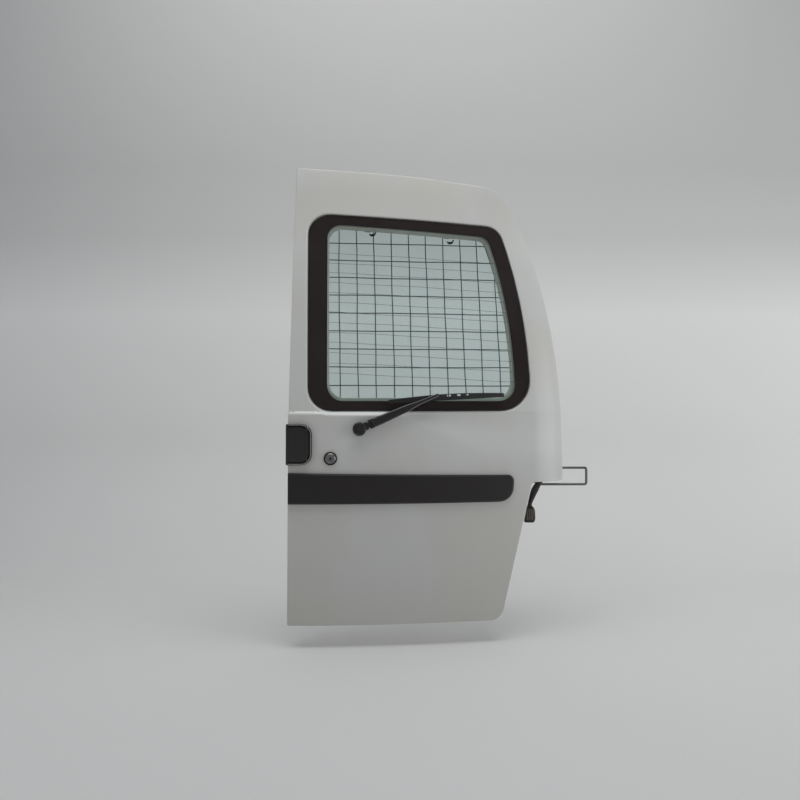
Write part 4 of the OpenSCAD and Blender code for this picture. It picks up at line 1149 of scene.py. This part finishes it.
class DOOR_OT_stage(bpy.types.Operator):
    """Floor, backdrop, lights and camera."""

    bl_idname = "door.stage"
    bl_label = "Stage"

    def execute(self, context):
        scene = context.scene
        # floor and backdrop in one sheet, (y, z) in section with a curve of this radius between
        floor_z, wall_y, bend = -60, 1200, 500
        profile = [(-3200, floor_z)]
        profile += [(wall_y - bend + bend * math.sin(a), floor_z + bend * (1 - math.cos(a)))
                    for a in np.linspace(0, math.pi / 2, 16)]
        profile += [(wall_y, 3600)]
        pts = [(x, y, z) for y, z in profile for x in (-3600, 4200)]
        quads = [(2 * k, 2 * k + 1, 2 * k + 3, 2 * k + 2) for k in range(len(profile) - 1)]
        mesh = bpy.data.meshes.new("backdrop")
        mesh.from_pydata(row(pts).tolist(), [], quads)
        mesh.shade_smooth()
        mat, tree, bsdf = new_look("backdrop", {"Roughness": 0.9, "Specular IOR Level": 0.1})
        # painted shade: the backdrop is lightest at mid height and darker at the floor and above the door, evening out
        # how the lamps light it
        painted_shade_tones = [(-0.8, 0.79), (-0.2, 0.88), (0.17, 0.90), (0.51, 0.67), (0.8, 0.60)]
        shade = by_height(tree, node(tree, "TexCoord"), [(z, (tone, tone, 0.985 * tone)) for z, tone in painted_shade_tones])
        join(tree, (shade, "Color", bsdf, "Base Color"))
        # seen from behind it is clear, so that it doesn't hide the inner side
        clear_where(tree, bsdf, node(tree, "NewGeometry"), "Backfacing")
        mesh.materials.append(mat)
        drop = bpy.data.objects.new("backdrop", mesh)
        scene.collection.objects.link(drop)

        def light(name, where, aim, size, power):
            """An area lamp from one place in mm to another, with its size in metres and watts."""
            data = bpy.data.lights.new(name, "AREA")
            data.shape = "RECTANGLE"
            data.size, data.size_y = size
            data.energy = power
            obj = bpy.data.objects.new(name, data)
            spot, target = Vector(row(where)), Vector(row(aim))
            obj.location = spot
            obj.rotation_euler = (target - spot).to_track_quat("-Z", "Y").to_euler()
            scene.collection.objects.link(obj)

        light("top light", (300, -500, 3000), (350, 100, 500), (2.6, 1.6), 30)
        light("front light", (-2400, -2600, 500), (350, 0, 500), (1.8, 1.4), 5)
        light("right light", (3700, -900, 600), (600, 100, 500), (3.0, 2.4), 40)
        light("wall light", (350, 600, 3200), (350, 1200, 500), (3.0, 0.6), 6)

        world = scene.world or bpy.data.worlds.new("world")
        scene.world = world
        world.use_nodes = True
        tree = world.node_tree
        back = tree.nodes["Background"]
        back.inputs["Color"].default_value = (0.9, 0.93, 1.0, 1)
        # shiny faces see a dimmer world than dull ones
        level = node(tree, "MapRange", {"To Min": 0.24, "To Max": 0.09})
        join(tree, (node(tree, "LightPath"), "Is Glossy Ray", level, "Value"), (level, "Result", back, "Strength"))

        cam = bpy.data.cameras.new("camera")
        cam.lens = 32.76
        cam.sensor_width = 36
        cam.clip_end = 50
        eye = bpy.data.objects.new("camera", cam)
        eye.location = Vector(row((295, -1900, 590)))
        eye.rotation_euler = (math.pi / 2, 0, 0)
        scene.collection.objects.link(eye)
        scene.camera = eye
        scene.view_settings.view_transform = "Standard"
        scene.render.resolution_x = scene.render.resolution_y = 800
        return {"FINISHED"}


class DOOR_OT_small(bpy.types.Operator):
    """Latch screws on the closing edge and the sockets of the trim clips on the inner side."""

    bl_idname = "door.small"
    bl_label = "Screws and sockets"

    def execute(self, context):
        screws, sockets = Body(), Body()
        depth, apart = float(cad_y(0.0, HANDLE_Z)) + 30, 31
        head = lathe([(0, 0.2), (5.2, 0.2), (5.2, -0.6), (4.4, -1.9), (2.9, -2.4), (2.5, -2.4), (2.2, -1.2),
                      (0, -1.2)], 24)
        for z in (HANDLE_Z - apart, HANDLE_Z + apart):
            screws.add(*head, place=moved(16, depth, z) @ turn("Z", -90))
        screws.build("latch_screws", "zinc", "leaf", (), "zinc", 30)
        socket = lathe([(0, 0.3), (8, 0.3), (8, -0.4), (7.2, -1.3), (5, -1.5), (4.4, -1.2), (3.6, -0.4),
                        (0, -0.4)], 24)
        for x, z in ((44, 44), (44, 190), (44, 335), (92, 345), (92, 530), (458, 350), (458, 530), (284, 46),
                     (300, 332), (590, 330), (560, 530), (40, 1060), (330, 1150), (520, 1120)):
            sockets.add(*socket, place=moved(x, float(cad_y(x, z)) + INNER_Y, z) @ turn("Z", 180))
        sockets.build("trim_sockets", "rub", "leaf", (), "black_plastic", 30)
        return {"FINISHED"}


STEPS = [DOOR_OT_stage, DOOR_OT_hinge_side, DOOR_OT_skin, DOOR_OT_small, DOOR_OT_inner, DOOR_OT_window,
         DOOR_OT_guard, DOOR_OT_strip, DOOR_OT_wiper, DOOR_OT_handle, DOOR_OT_lock]


class DOOR_PT_panel(bpy.types.Panel):
    """Lists the door's pieces, colours and sizes."""

    bl_idname = "DOOR_PT_panel"
    bl_label = "Rear door"
    bl_space_type = "VIEW_3D"
    bl_region_type = "UI"
    bl_category = "Rear door"

    def draw(self, context):
        for group in (context.scene.door_colours, context.scene.door_sizes):
            for name in group.__annotations__:
                self.layout.prop(group, name)
        for step in STEPS:
            self.layout.operator(step.bl_idname)


CLASSES = [DoorColours, DoorSizes] + STEPS + [DOOR_PT_panel]


def register():
    """Registers the classes and gives the scene their colours and sizes."""
    for cls in CLASSES:
        bpy.utils.register_class(cls)
    bpy.types.Scene.door_colours = bpy.props.PointerProperty(type=DoorColours)
    bpy.types.Scene.door_sizes = bpy.props.PointerProperty(type=DoorSizes)


def unregister():
    """Takes it all away again."""
    del bpy.types.Scene.door_sizes
    del bpy.types.Scene.door_colours
    for cls in reversed(CLASSES):
        bpy.utils.unregister_class(cls)


def main():
    """Builds every piece in order."""
    register()
    for step in STEPS:
        group, name = step.bl_idname.split(".")
        getattr(getattr(bpy.ops, group), name)()


if __name__ == "__main__":
    main()
